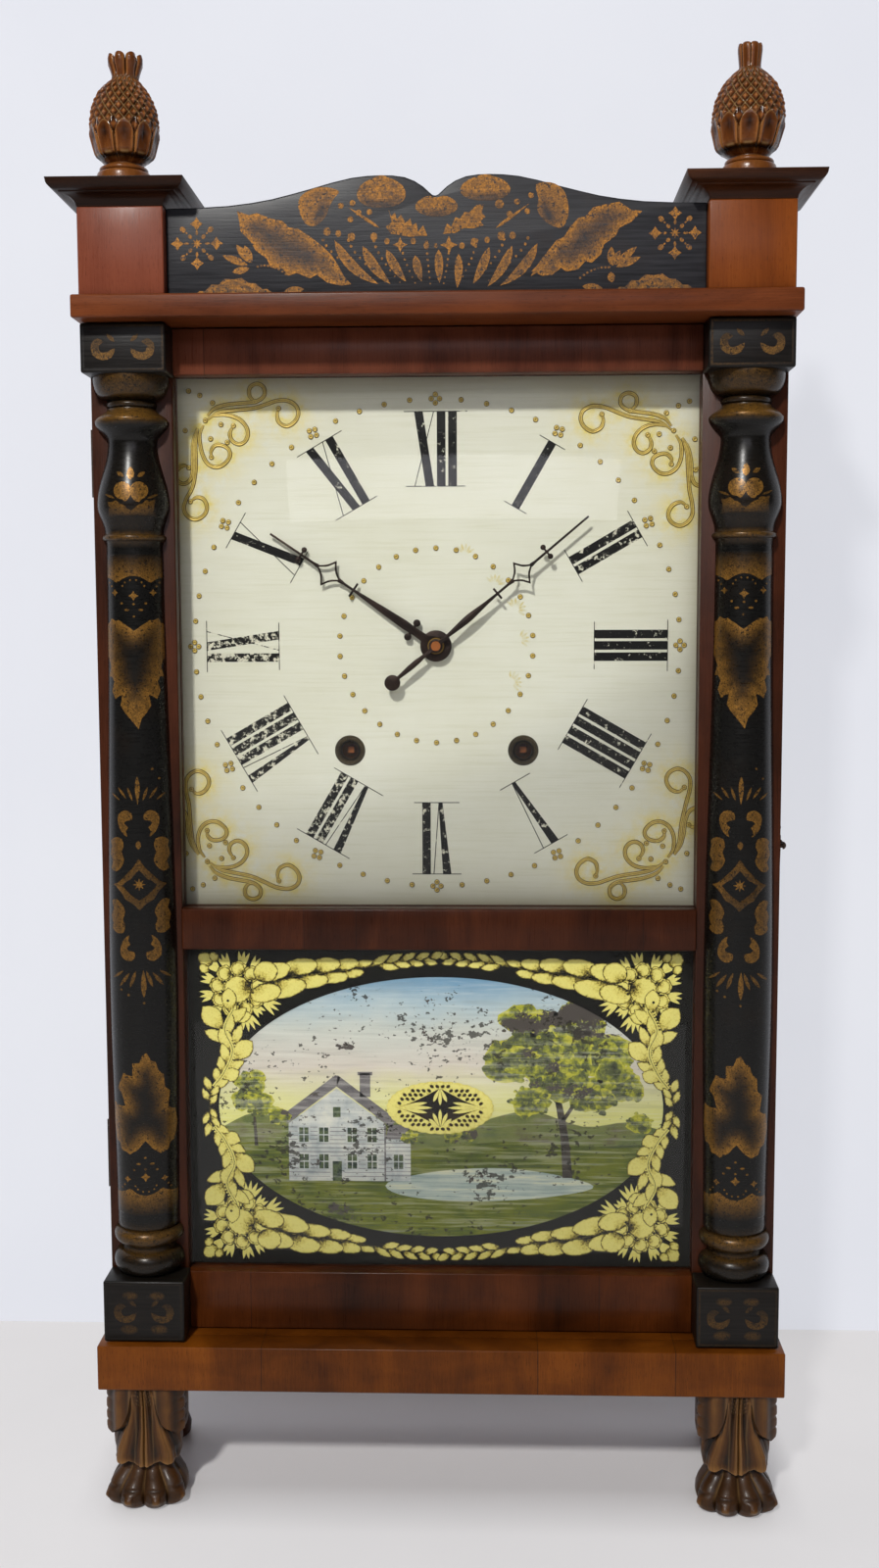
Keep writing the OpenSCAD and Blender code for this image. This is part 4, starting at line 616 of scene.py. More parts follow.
def carved_finial(node, side, crown, petals, girth, faced, lean):
    """Foot, body of spoon leaves under a lattice of pyramids, and a crown of petals.

    faced is the angle of the leaf that shows in the middle, lean the sideways shift against height."""
    turns = np.arange(0, 360, 1.2)
    top = crown[-1][0]
    foot = [(15.6, 0)] + bead(15.2, 0.2, 11.2, 1.2) + [(13.8, 11.6)] + bead(13.6, 11.8, 14.2, 0.9)
    foot += [(11.2, 14.6), (10.6, 15.6), (10.6, 16)]
    # Rows hold radius, height, high, line and painted shade; the collar under the body is painted dark as shade.
    rows = [(r, z, 0.62, 0, 0.5 if z > 15 else 0.05) for r, z in foot]
    leaf_width = 180 / FINIAL_LEAVES
    across = np.abs((turns - faced + 360 + leaf_width) % (2 * leaf_width) - leaf_width) / leaf_width
    behind = 1 - across
    for z in np.linspace(BODY_LOW, BODY_HIGH, 140):
        plain = max(lerp(BODY_KEYS, z) * girth, crown[0][1] if z > 60 else 0)
        leaf_top = LEAF_TIP - LEAF_FALL * across ** 2
        back_top = BACK_TIP - BACK_FALL * behind ** 1.5
        u = np.radians(FINIAL_DIAMONDS / 2 * (turns - 3))
        s = math.radians(45 * (z - LATTICE_LOW) / LATTICE_STEP)
        cut = np.minimum(np.abs(np.sin(u + s)), np.abs(np.sin(u - s)))
        fade = min(1, (67.5 - z) / 9)
        on_leaf, on_back = z < leaf_top, z < back_top
        spoon = near(z, leaf_top - 7, 5) * unit(1 - across / 0.7)
        leaf = np.where(across > 0.93, -0.9, 0.75 + 0.55 * near(across, 0.74, 0.14) - 1.1 * spoon)
        relief = np.where(on_leaf, leaf * unit((z - 18.6) / 2),
                          np.where(on_back, 0.35 - 0.8 * near(behind, 0.0, 0.08), (2.6 * cut ** 0.9 - 1.2) * fade))
        edge = np.where(on_leaf, near(z, leaf_top, 0.9), np.where(on_back, near(z, back_top, 0.7), 0))
        scallop = near(z, LEAF_FOOT, 0.7) * unit(2 - across / 0.3)
        streak = 0.5 + 0.5 * np.sin(np.radians(14 * turns + 40 * math.sin(z / 3)))
        line = np.where(on_leaf | on_back, 0.7 * edge, unit(1.15 - cut / 0.26)) + scallop
        line = line + np.where(on_leaf, 0.35 * near(across, 0.88, 0.05), 0)
        high = np.where(on_leaf, 0.46 + 0.32 * near(across, 0.8, 0.12) - 0.5 * spoon + 0.12 * streak,
                        0.85 * cut ** 1.4)
        # Painted shade in the gaps between the leaves and in the hollow under the body, less on the scallops.
        hollow_shade = np.where(on_leaf & (across > 0.94), 0.5, 0) + np.clip((20.8 - z) / 1.2, 0, 0.93) * (1 - scallop)
        hollow_shade = hollow_shade * np.clip((z - 16.8) / 2, 0.2, 1)
        rows.append((plain + relief, z, high, line, unit(hollow_shade)))
    for z in np.linspace(CROWN_LOW, top, 34):
        petal = np.abs(np.sin(np.radians(4 * (turns - faced))))
        amount = petals * min(1, (z - 66) / 3)
        r = lerp(crown, z) * (1 + amount * (petal ** 0.6 - 0.8))
        dip = 18 * petals * (1 - petal ** 0.4) * unit((z - top + 7) / 6)
        high = 0.38 + 0.3 * near(petal, 0.45, 0.2) + 0.12 * petal
        # Painted shade between the petals and down their middles.
        hollow_shade = 0.8 * near(petal, 0, 0.2) + 0.25 * near(petal, 1, 0.1) * (z < top - 3)
        rows.append((r, z - dip, high, 0.25 * near(petal, 0.3, 0.12), hollow_shade))
    # The crown closes in a dip whose dark is painted shade.
    lip = 0.62 * crown[-1][1]
    rows += [(lip * k, top - 6, 0.3, 0, 0.6) for k in (1, 0.02)]

    def place(r, angle, z):
        return np.stack([side * FINIAL_X + np.interp(z, *zip(*lean)) + r * np.sin(angle),
                         FINIAL_Y - r * np.cos(angle), CAP_TOP + z], 1)

    carving(node, rows, turns, place, carved_look)


carved_finial("left_finial", -1, FLARED_CROWN, 0.2, 0.96, 12,
              ((0, -2.4), (14, -2.4), (20, -1.6), (58, -1.6), (68, -0.2)))
carved_finial("right_finial", 1, STUB_CROWN, 0.06, 1, -6, ((0, 0.9), (14, 0.9), (20, -0.8), (40, 0.1), (58, 0.5)))

# Paw, the leaf that hangs over it and the two leaves at the sides: height, half width, reach to front and to back.
PAW = ((0, 20.5, 18.5, 18), (2.5, 23.6, 22, 19.5), (6, 24.6, 23.6, 20), (10, 24.4, 22.8, 19.6), (14, 23, 19.8, 19),
       (18, 20.6, 15.8, 18.2), (22, 17.8, 12.6, 17.4), (26, 16.4, 11, 17), (30, 16, 10.8, 17))
LEAF = ((24, 19.4, 15, 18), (30, 21, 16.2, 18), (36, 21.4, 16.2, 18.4), (42, 20.6, 15.2, 19), (50, 19, 14, 21),
        (64, 20.5, 14.4, 23), (74, 22, 16.6, 24), (78.5, 22.5, 17.5, 24))
LOBE = ((44, 24, 17.6, 21.5), (50, 25, 18.6, 22.5), (62, 25, 18.8, 23.5), (74, 24.8, 18.6, 24.5),
        (78.5, 24.2, 18.2, 24.5))
TOE_DEPTH = ((0, 4.6), (8, 5.4), (16, 3.6), (26, 1.8), (30, 1.6))
LOBE_EDGE = ((0, 77), (18, 77), (24, 72), (28, 62), (36, 54), (48, 48.5), (62, 46), (80, 47), (300, 47))
SQUARENESS, CHEVRONS_FROM, LAP = 2.9, 64, 0.2
NAIL_HIGH, NAIL_CUT, KNUCKLE_HIGH, SIDE_NICKS = 6.4, 12.4, 17, ((61, 0.9), (69, 0.9), (54, 0.8))


def blocky(keys, turn, z):
    """The radius of a rounded square whose sizes follow the keys."""
    wide = lerp(keys, z, 1)
    reach = np.where(np.cos(turn) > 0, lerp(keys, z, 2), lerp(keys, z, 3))
    return ((np.abs(np.sin(turn)) / wide) ** SQUARENESS + (np.abs(np.cos(turn)) / reach) ** SQUARENESS) ** (
        -1 / SQUARENESS)


def chevrons(off, z):
    """0 in the cuts that fall from the middle rib, 1 between them."""
    return np.abs(np.sin(np.radians(55 * (z - CHEVRONS_FROM) - 11 * off * 1.6)))


def carved_foot(node, side):
    """A paw of four toes, the leaf that hangs over it and the leaves at its sides."""
    turns = np.concatenate([np.arange(-84, 84.5, 1.0), np.arange(88, 274, 6.0)])
    off = np.abs(np.where(turns > 180, turns - 360, turns))
    angle = np.radians(turns)
    front = unit((86 - off) / 6)
    leaf_low = np.where(off > 93, 28, np.where(off < 33, 29.5 - 3.8 * np.cos(np.radians(90 * off / 33)),
                                               29.5 - 2.6 * np.abs(np.sin(np.radians(6 * (off - 33))))))
    lobe_low = lerp(LOBE_EDGE, off) + np.where((off > 40) & (off < 80), 1.4 * np.abs(np.sin(np.radians(9 * off))), 0)
    rows = []
    for t in np.linspace(0, 1, 44):
        z = (leaf_low - LAP) * t
        toe = np.abs(np.sin(4.5 * angle)) ** 0.7
        nail = unit(toe * 8 - 7)
        claw = 1.5 * near(z, NAIL_HIGH, 2.4) * nail - 0.9 * near(z, NAIL_CUT, 0.8) * unit(toe * 2 - 1.1)
        knuckle = 0.7 * near(z, KNUCKLE_HIGH, 2.5) * toe
        r = blocky(PAW, angle, z) + front * ((toe - 0.72) * lerp(TOE_DEPTH, z) + 0.9 * claw + knuckle)
        groove = front * unit(1 - toe / 0.42)
        round_nail = front * near(nail, 0.35, 0.25) * near(z, 6.8, 3.6)
        high = 0.08 + 0.16 * toe + 0.3 * nail * near(z, 7, 3) + 0.16 * near(z, 2, 3)
        line = 0.55 * groove * unit((z - 8) / 6) + 0.5 * nail * near(z, 5.6, 1.2) * front
        # Painted shade between the toes, under the hanging leaf, at the floor, round the nails and in the crease
        # above them.
        hollow_shade = (0.35 * groove * (z < 8) + 1.2 * near(z, leaf_low, 3.0) + 0.5 * near(z, 0, 1.5) + 0.6 * round_nail
                + 0.5 * front * near(z, 12.2, 0.8) * unit(toe * 2 - 1))
        rows.append((r, z, high, line, unit(hollow_shade)))
    for t in np.linspace(0, 1, 40):
        z = leaf_low + (lobe_low - LAP - leaf_low) * t
        fan = off / (0.42 + 0.58 * unit((FOOT_TOP - z) / 46))
        rib = np.cos(np.radians(7.5 * fan))
        middle = unit(1 - fan / 8)
        vein = np.abs(np.sin(np.radians(15 * fan)))
        chevron = np.where((off < 20) & (z > CHEVRONS_FROM), chevrons(off, z), 1)
        r = blocky(LEAF, angle, z) + front * (1.3 * rib - 1.9 * middle - 0.45 * (1 - vein) - 0.6 * (1 - chevron))
        tip = near(z, leaf_low, 2.6)
        line = front * (0.5 * unit(1 - chevron / 0.5) + 0.35 * near(off, 5, 1.8) + 0.25 * near(off, 22, 1.6)
                        + 0.3 * near(z, leaf_low, 0.7))
        # Painted shade along the middle rib, between the veins and under the edge of the side leaves.
        hollow_shade = front * (0.6 * near(off, 0, 2.0) + 0.35 * unit(1 - vein / 0.3)
                        + 0.85 * near(z, lobe_low, 2.2) * (off > 22))
        rows.append((r + 0.9 * tip * front, z, 0.36 + 0.36 * rib * front + 0.3 * tip, line, unit(hollow_shade)))
    for t in np.linspace(0, 1, 34):
        z = lobe_low + (FOOT_TOP - lobe_low) * t
        parted = unit((off - 18) / 6)
        vein = np.cos(12 * np.radians(off - 42))
        nick = sum(near(z, *at) for at in SIDE_NICKS)
        chevron = np.where(off < 20, chevrons(off, z), 1)
        r = (blocky(LEAF, angle, z) - 0.6 * (1 - chevron)) * (1 - parted) + parted * (
            blocky(LOBE, angle, z) + front * 0.8 * vein - 1.5 * nick * near(off, 78, 14))
        edge = near(off, 25, 2.5) * parted
        line = front * (0.55 * unit(1 - chevron / 0.5) * (1 - parted) + 0.35 * edge)
        # Painted shade in the nicks and in the valleys of the veins.
        hollow_shade = 0.5 * nick * near(off, 78, 14) + 0.4 * unit(-vein - 0.5) * parted * front
        rows.append((r, z, 0.38 + 0.22 * vein * parted + 0.35 * edge, line, unit(hollow_shade)))

    def place(r, angle, z):
        return np.stack([side * (FOOT_X + r * np.sin(angle)), FOOT_Y - r * np.cos(angle), z], 1)

    carving(node, rows, turns, place, carved_feet_look, True)


carved_foot("left_paw_foot", -1)
carved_foot("right_paw_foot", 1)

# Half columns: radius against height, turned as one profile.
R, low, high = COLUMN_R, COLUMN_LOW, COLUMN_HIGH
waist, shoulder, neck, saucer = (R - 5.2, high - 100.4), (R - 0.4, high - 77), (R - 7.5, high - 39), (R, high - 27.4)
profile = [(R - 3, low)] + bead(R - 5.5, low + 0.4, low + 15.4, 5.5, 24) + [(R - 5.5, low + 18.4)]
profile += bead(R - 4.3, low + 20, low + 30, 4, 20) + eased((R - 2.9, low + 31.5), (R - 1.2, low + 180), 60)
profile += eased((R - 1.2, low + 180), waist, 90)[1:] + bead(R - 4.6, high - 99, high - 95, 1.8, 12)
profile += eased((R - 4.5, high - 94.4), shoulder, 20) + eased(shoulder, neck, 36)[1:] + eased(neck, saucer, 16)[1:]
profile += [(R, high - 26.8), (R, high - 26.2)] + eased((R - 0.6, high - 26), (R - 7.6, high - 19), 12)
profile += bead(R - 8.4, high - 18.6, high - 14.8, 1.4, 12) + [(R - 8.9, high - 14.2), (R - 5.8, high - 13)]
profile += [(R - 5.8 + 6.5 * math.sin(a), high - 13 + 12.4 * (1 - math.cos(a)))
            for a in np.linspace(0.1, math.pi / 2, 16)] + [(R + 0.7, high)]
profile = np.array(profile)
# Where bronze powder was rubbed on the turnings: height, and how much of it is left.
RINGS_GILT = ((low, 0), (low + 12, 0.05), (low + 15, 0.30), (low + 17, 0.05), (low + 24, 0.25), (low + 28, 0.55),
              (low + 31, 0.1), (low + 36, 0), (high - 102, 0), (high - 99, 0.15), (high - 97, 0.50),
              (high - 95, 0.35), (high - 93, 0.03), (high - 30, 0), (high - 27.6, 0.2), (high - 26.4, 0.7),
              (high - 23, 0.8), (high - 20, 0.5), (high - 18.8, 0.05), (high - 17, 0.12), (high - 15, 0.1),
              (high - 14, 0.05), (high - 12, 0.24), (high - 5, 0.2), (high - 0.5, 0.34))
gilded = lacquer("gilded_lacquer", (172, 122, 50), (12, 11, 9), 0.27, rub=0.7, coat=0.2)
TURNS = np.linspace(-math.pi / 2, math.pi / 2, 65)
for side, node in ((-1, "left_column"), (1, "right_column")):
    r, z = np.repeat(profile[:, 0], len(TURNS)), np.repeat(profile[:, 1], len(TURNS))
    angle = np.tile(TURNS, len(profile))
    points = np.stack([side * COLUMN_X + r * np.sin(angle), DOOR_Y - r * np.cos(angle), z], 1)
    faces = grid_faces(len(profile), len(TURNS)) + end_faces(len(profile), len(TURNS))
    # The bronze fades towards each column's sides: painted shading of the round turning.
    piece(node + "_turned", points, faces, gilded, "door", "ebonised_wood", 45, (node,),
          {"gilt": lerp(RINGS_GILT, z) * (0.3 + 0.7 * np.cos(angle) ** 2)})

slate = lacquer("slate_lacquer", (192, 130, 52), (31, 31, 34), 0.42, brush=0.9, rub=0.8, coat=0.12)
block_black = lacquer("block_lacquer", (140, 100, 44), (14, 11, 8), 0.38, brush=0.7, rub=0.9, coat=0.1)
dressed("splat", slate, "ebonised_wood", "case", 1.2, 3)
dressed("upper_blocks", block_black, "ebonised_wood", "door", 1.3, 3)
dressed("lower_blocks", block_black, "ebonised_wood", "door", 1.3, 3)


# Painted ornament. Shapes are drawn in the flat, in millimetres, filled with small triangles and laid on a surface.
def laid(loop, x, y, turn):
    """A loop drawn level round its own origin, turned and laid at x, y."""
    return [(x + u * math.cos(turn) - v * math.sin(turn), y + u * math.sin(turn) + v * math.cos(turn))
            for u, v in loop]


def ellipse(x, y, wide, tall, turn=0.0, parts=14):
    return laid([(wide * math.cos(a), tall * math.sin(a)) for a in ring(parts)], x, y, turn)


def rectangle(x, y, half_wide, half_tall):
    """A rectangle round its middle."""
    return [(x + sx * half_wide, y + sy * half_tall) for sx, sy in ((-1, -1), (1, -1), (1, 1), (-1, 1))]


def dot(x, y, size, parts=7):
    return ellipse(x, y, size, size, 0, parts)


def star(x, y, size, tips, waist):
    return [polar(x, y, size * (waist if i % 2 else 1), math.pi / 2 + math.pi * i / tips) for i in range(2 * tips)]


def curve(points, closed=False, parts=5):
    """A smooth line through the points."""
    p = [np.array(q, float) for q in points]
    count = len(p) if closed else len(p) - 1
    line = []
    for i in range(count):
        a, b = p[i], p[(i + 1) % len(p)]
        before = p[i - 1] if closed or i else a
        after = p[(i + 2) % len(p)] if closed or i + 2 < len(p) else b
        for t in np.arange(parts) / parts:
            line.append(tuple(0.5 * (2 * a + (b - before) * t + (2 * before - 5 * a + 4 * b - after) * t ** 2
                                     + (3 * a - before - 3 * b + after) * t ** 3)))
    return line if closed else line + [tuple(p[-1])]


def petal(x, y, length, wide, turn, parts=7, fullest=0.5):
    """A leaf form from its root at x, y, pointed at both ends."""
    edge = [(length * t, wide / 2 * math.sin(math.pi * t ** (math.log(0.5) / math.log(fullest))) ** 0.8)
            for t in np.linspace(0, 1, parts)]
    return laid(edge + [(u, -v) for u, v in edge[-2:0:-1]], x, y, turn)


def wavy(x, y, size, wave, waves, parts):
    """A circle with a wavy rim."""
    return [polar(x, y, size + wave * math.cos(waves * a), a) for a in ring(parts)]


def within(points, loops):
    """Which points lie inside the closed loops, and how far each is from the nearest outline."""
    p = np.asarray(points, float)
    odd, depth = np.zeros(len(p), bool), np.full(len(p), 1e9)
    for loop in loops:
        a = np.asarray(loop, float)
        b = np.roll(a, -1, axis=0)
        for (ax, ay), (bx, by) in zip(a, b):
            cross = (ay > p[:, 1]) != (by > p[:, 1])
            if cross.any():
                odd ^= cross & (p[:, 0] < (bx - ax) * (p[:, 1] - ay) / (by - ay + (by == ay)) + ax)
            run = np.array((bx - ax, by - ay))
            share = unit(((p - (ax, ay)) @ run) / max(run @ run, 1e-9))
            depth = np.minimum(depth, np.linalg.norm(p - (ax, ay) - share[:, None] * run, axis=1))
    return odd, depth


CLEAR_OF_EDGE, FIRST_LIFT, LIFT_STEP = 0.45, 0.08, 0.0003


class Stencil:
    """Flat shapes gathered into one piece. Each point carries its gilt: how much of the paint's powder is there."""

    def __init__(self):
        self.points, self.faces, self.gilt, self.lift, self.count = [], [], [], [], 0

    def shape(self, loops, step=None, gilt=1.0, lift=None):
        """gilt is a number, or a function of x, y and the distance inside the outline. A later shape lies higher."""
        self.count += 1
        lift = FIRST_LIFT + LIFT_STEP * self.count if lift is None else lift
        if isinstance(loops[0][0], (int, float, np.floating)):
            loops = [loops]
        flat, edges = [], []
        for loop in loops:
            start = len(flat)
            flat += [tuple(map(float, q)) for q in loop]
            edges += [(start + i, start + (i + 1) % len(loop)) for i in range(len(loop))]
        if step:
            lows, highs = np.min(flat, axis=0), np.max(flat, axis=0)
            inner = [(x + (j % 2) * step / 2, y) for j, y in enumerate(np.arange(lows[1], highs[1], step * 0.87))
                     for x in np.arange(lows[0], highs[0], step)]
            if inner:
                keep, depth = within(inner, loops)
                flat += [q for q, k, d in zip(inner, keep, depth) if k and d > CLEAR_OF_EDGE * step]
        found, _, faces, *_ = delaunay_2d_cdt([Vector(q) for q in flat], edges, [], 0, 1e-5)
        found = np.array([tuple(v) for v in found])
        faces = [tuple(f) for f in faces]
        inside, _ = within(np.array([found[list(f)].mean(axis=0) for f in faces]), loops)
        _, depth = within(found, loops)
        level = gilt(found[:, 0], found[:, 1], depth) if callable(gilt) else np.full(len(found), float(gilt))
        start = len(self.points)
        self.points += [tuple(q) for q in found]
        self.faces += [tuple(start + i for i in f) for f, k in zip(faces, inside) if k]
        self.gilt += list(unit(level))
        self.lift += [lift] * len(found)

    def make(self, name, place, material, body, slot, value="gilt"):
        points = [place(x, y, lift) for (x, y), lift in zip(self.points, self.lift)]
        return piece(name, points, self.faces, material, body, slot, 60, (), {value: self.gilt})


def rim_glow(width, core=0.0):
    """Bronze rubbed in from the outline, fading to core over width."""
    return lambda x, y, depth: core + (1 - core) * np.exp(-(depth / width) ** 1.6)


def inner_line(level, dip, at, wide):
    """Bronze with a darker line round it, that far inside the outline."""
    return lambda x, y, depth: level - dip * near(depth, at, wide)


# Splat: a bowl of fruit between two leaves, rosettes at the ends. y is the height over the cornice.
SPLAT_Y = node_box("splat")[0][1]
splat_art = Stencil()
leaf_left = [(-116.7, 48.9), (-110, 46.5), (-105, 47.6), (-96.8, 44.4), (-90, 43), (-86, 39), (-81.4, 38.8),
             (-74, 34), (-66, 27.9), (-61, 23), (-57.2, 17.1), (-54, 11), (-49.6, 6.2), (-56, 5.5), (-64, 7.4),
             (-70, 12), (-74, 9.8), (-81.7, 13), (-87, 11.5), (-90, 15.5), (-97.2, 16.4), (-99.5, 21.5), (-106, 26.2),
             (-109, 31.5), (-114.7, 37.1), (-115.5, 43)]
leaf_right = [(121.1, 46.2), (114, 47.5), (107.9, 51.7), (100, 50.4), (92.6, 48.6), (88, 43.5), (84, 42.8),
              (79.5, 38.1), (75.5, 32), (71, 30), (66.4, 24.4), (61, 17), (56.6, 12.7), (63, 10), (68.7, 10.4),
              (74, 14.5), (77, 12.2), (84, 13.5), (88, 18), (92, 17.2), (97.2, 21.9), (99, 27.5), (105.9, 32.5),
              (108, 37), (114.6, 39.9)]
for loop in (leaf_left, leaf_right):
    splat_art.shape(loop, 1.7, rim_glow(5.2, 0.10))
for middle, wide, tall, heart in (((0.9, 50.8), 12.4, 6.5, 2.0), ((-31.5, 58.4), 14.3, 8.6, -1.5),
                                  ((29.5, 60.2), 14.6, 7.0, -1.2)):
    loop = [(middle[0] + wide * math.cos(a) * (1 - 0.10 * math.sin(a)),
             middle[1] + tall * math.sin(a) * (1 - 0.04 * heart * abs(math.cos(a)))
             - heart * math.exp(-((a - math.pi / 2) / 0.28) ** 2))
            for a in ring(30)]
    splat_art.shape(loop, 1.6, lambda x, y, depth: 0.95 - 0.25 * near(depth, 3.0, 1.2)
                    - 0.75 * unit((middle[1] + 0.1 * tall - y) / tall) ** 1.3)
pear_left = curve([(-80.3, 50), (-79, 56.8), (-72, 61), (-64, 62), (-56.5, 59.6), (-59, 56), (-62, 51), (-64.5, 45),
                   (-70.5, 40), (-76.5, 41.5)], True, 3)
pear_right = curve([(59.2, 62), (60.6, 54), (60, 47.5), (64, 41.5), (69, 38.4), (74.6, 37.6), (78, 44), (77.6, 52.5),
                    (74.5, 59.5), (67.5, 63.2)], True, 3)
for loop, heart in ((pear_left, (-66, 46)), (pear_right, (66, 45))):
    splat_art.shape(loop, 1.6, lambda x, y, depth: 0.9 - 0.25 * near(depth, 4.0, 2.0)
                    - 0.65 * near(np.hypot(x - heart[0], 0.7 * (y - heart[1])), 0, 6.5))


def lens(start, end, wide, bulge, parts=9):
    """A slender leaf along a bow that leaves the straight line by bulge."""
    start, end = np.array(start), np.array(end)
    run = end - start
    aside = np.array((-run[1], run[0])) / np.hypot(*run)
    share = np.linspace(0, 1, parts)
    line = start + share[:, None] * run + (4 * bulge * share * (1 - share))[:, None] * aside
    half = (wide / 2 * np.sin(np.pi * share ** 0.8) ** 0.8)[:, None] * aside
    return [tuple(p) for p in line + half] + [tuple(p) for p in (line - half)[-2:0:-1]]


for root, reach, wide, bulge in (((-59.3, 31.7), (-33.4, 6.1), 6.2, -3.4), ((-42.7, 28.1), (-26.4, 6.1), 6.0, -1.6),
                                 ((-28.8, 25.9), (-17.2, 7.3), 5.4, -0.8), ((-11.8, 22.4), (-8.0, 7.4), 5.0, -0.4),
                                 ((2, 25.6), (2.5, 6.4), 5.0, 0), ((13.8, 23), (12.9, 3.4), 4.8, 0.4),
                                 ((31.8, 26.5), (22.2, 5.6), 5.4, 0.8), ((45.3, 27.4), (30.7, 4), 5.4, 1.6),
                                 ((60, 28.6), (38.2, 4.6), 6.0, 3.0), ((72, 28.4), (56.2, 9.8), 4.4, 0.6)):
    splat_art.shape(lens(root, reach, wide, bulge), 1.4, lambda x, y, depth: 0.5 + 0.4 * np.exp(-depth / 1.5))
RIB_TOPS = (-66, -51, -36, -20.5, -5.0, 8.6, 24.5, 40.5, 54.5)
for top in RIB_TOPS:
    for i in range(8):
        share = i / 7
        splat_art.shape(ellipse(top * (1 - 0.42 * share ** 1.4), 30 - 24 * share + 0.03 * abs(top),
                                0.9 - 0.45 * share, 1.0 - 0.45 * share, 0, 8), gilt=0.85 - 0.2 * share)
for x, y, size in ((-63.7, 36.5, 2.6), (-57, 35.4, 2.0), (-49.3, 33.5, 2.6), (-36, 33.4, 2.4), (-28.3, 30.7, 1.9),
                   (-12.9, 30.6, 1.9), (-5.1, 27.9, 2.0), (0.4, 27.9, 1.4), (15.8, 27.7, 1.9), (22.9, 29.6, 2.5),
                   (30.6, 30.8, 1.9), (38.9, 33.2, 2.7), (45.5, 33.2, 2.2)):
    splat_art.shape(ellipse(x, y, size * 0.85, size, 0, 10), gilt=0.75)
for x, y, size in ((-20.6, 28.6, 4.4), (8.1, 28.2, 5.2)):
    splat_art.shape(star(x, y, size, 4, 0.42), gilt=0.95)
for middle in ((-140.8, 30.5), (140.4, 33.6)):
    splat_art.shape(star(*middle, 3.2, 8, 0.45), gilt=0.9)
    for i in range(4):
        turn = math.pi / 2 * i
        aslant = turn + math.pi / 4
        x, y = middle[0] + 11.6 * math.cos(turn), middle[1] + 11.3 * math.sin(turn)
        splat_art.shape(star(x, y, 3.9, 4, 0.55), gilt=0.95)
        x, y = middle[0] + 11.6 * math.cos(aslant), middle[1] + 11.4 * math.sin(aslant)
        splat_art.shape(ellipse(x, y, 1.9, 1.5, aslant), gilt=0.85)
        for reach, size in ((5.6, 1.4), (8.6, 0.7)):
            splat_art.shape(ellipse(*polar(*middle, reach, aslant), size, size * 0.8, aslant, 9), gilt=0.85)
        splat_art.shape(ellipse(*polar(*middle, 6.2, turn), 1.5, 0.8, turn, 8), gilt=0.8)
for root, tips in (((-107.3, 16.6), ((-124.9, 23.2), (-117, 29.0), (-112.4, 28.6), (-119.4, 14.0))),
                   ((102.8, 13.3), ((103.4, 25.6), (108.2, 23.4), (119.6, 19.8), (117.5, 25.5), (103.8, 6.0)))):
    for tip in tips:
        run = (tip[0] - root[0], tip[1] - root[1])
        start = (root[0] + 0.2 * run[0], root[1] + 0.2 * run[1])
        splat_art.shape(petal(*start, 0.85 * math.hypot(*run), 4.4, math.atan2(run[1], run[0])), 1.6, 0.85)
for i in range(9):
    splat_art.shape(ellipse(-105 + 2.1 * i, 17.5 - 0.14 * (i - 2) ** 2, 0.8, 0.7, 0, 7), gilt=0.7)
    splat_art.shape(ellipse(102 - 2.1 * i, 14.5 - 0.12 * (i - 1) ** 2, 0.8, 0.7, 0, 7), gilt=0.7)
half_rosette = [(-24, 0.6), (-20, 3.2), (-17, 3.0), (-13, 7.0), (-9, 6.6), (-5, 10.2), (0, 9.6), (5, 10.6), (9, 7.6),
                (13, 7.4), (17, 4.0), (20, 4.0), (25, 0.6)]
for middle in (-119.5, 128.3):
    splat_art.shape([(middle + x, y) for x, y in half_rosette], 1.6,
                    lambda x, y, depth: 0.25 + 0.7 * np.abs(np.sin(0.55 * np.hypot(x - middle, 1.6 * y))))
    splat_art.shape(petal(middle - 30 * np.sign(middle), 2.5, 12, 4.5, 0.1 if middle < 0 else math.pi - 0.1), 1.6,
                    0.8)
for root, end, berries in (
        ((-32.7, 38.3), (-51.4, 50.6),
         ((-55.4, 51.3, 1.7), (-48.5, 52.7, 1.7), (-45.0, 47.2, 1.7), (-38.6, 47.5, 1.7), (-49.8, 43.4, 1.7))),
        ((35.6, 37.5), (55.2, 51.2),
         ((37.8, 51.2, 2.6), (48.1, 52.4, 1.7), (56.3, 56.0, 1.7), (54.2, 47.0, 1.7), (43.6, 45.6, 1.7)))):
    run = (end[0] - root[0], end[1] - root[1])
    splat_art.shape(petal(*root, math.hypot(*run), 1.9, math.atan2(run[1], run[0]), 7, 0.3), gilt=0.9)
    for berry in berries:
        splat_art.shape(dot(*berry, 14), gilt=0.85)
spray_left = [(-27.5, 49.5), (-25.8, 45), (-23.5, 47), (-22.5, 43), (-20, 45.8), (-17.5, 41), (-14.5, 43.5),
              (-13.5, 39.5), (-11, 41), (-10, 36), (-7, 39.5), (-4.5, 33.5), (-9, 33.6), (-14, 33), (-20, 34),
              (-26, 35), (-29, 39), (-25.5, 41.5)]
spray_right = [(4.8, 34.5), (7, 40.5), (9.5, 38.5), (12, 44), (14.5, 43), (17.5, 47), (20, 46.5), (24.5, 50.8),
               (28.6, 51.2), (27.5, 46.5), (29.6, 44), (26.6, 41.5), (28.5, 39.2), (22.5, 37.5), (17, 37.8), (12, 35)]
for loop in (spray_left, spray_right):
    splat_art.shape(loop, 1.5, inner_line(0.9, 0.25, 2.6, 1.0))
splat_art.make("splat_stencil", lambda x, y, lift: (x, SPLAT_Y - lift, CORNICE_TOP + y), slate, "case",
               "ebonised_wood")

# Columns. x is how far a point shows to the right of the column's middle, seen from in front.
FACING, WIDEST, WRAP_GAP = math.radians(7), 0.96, 0.05


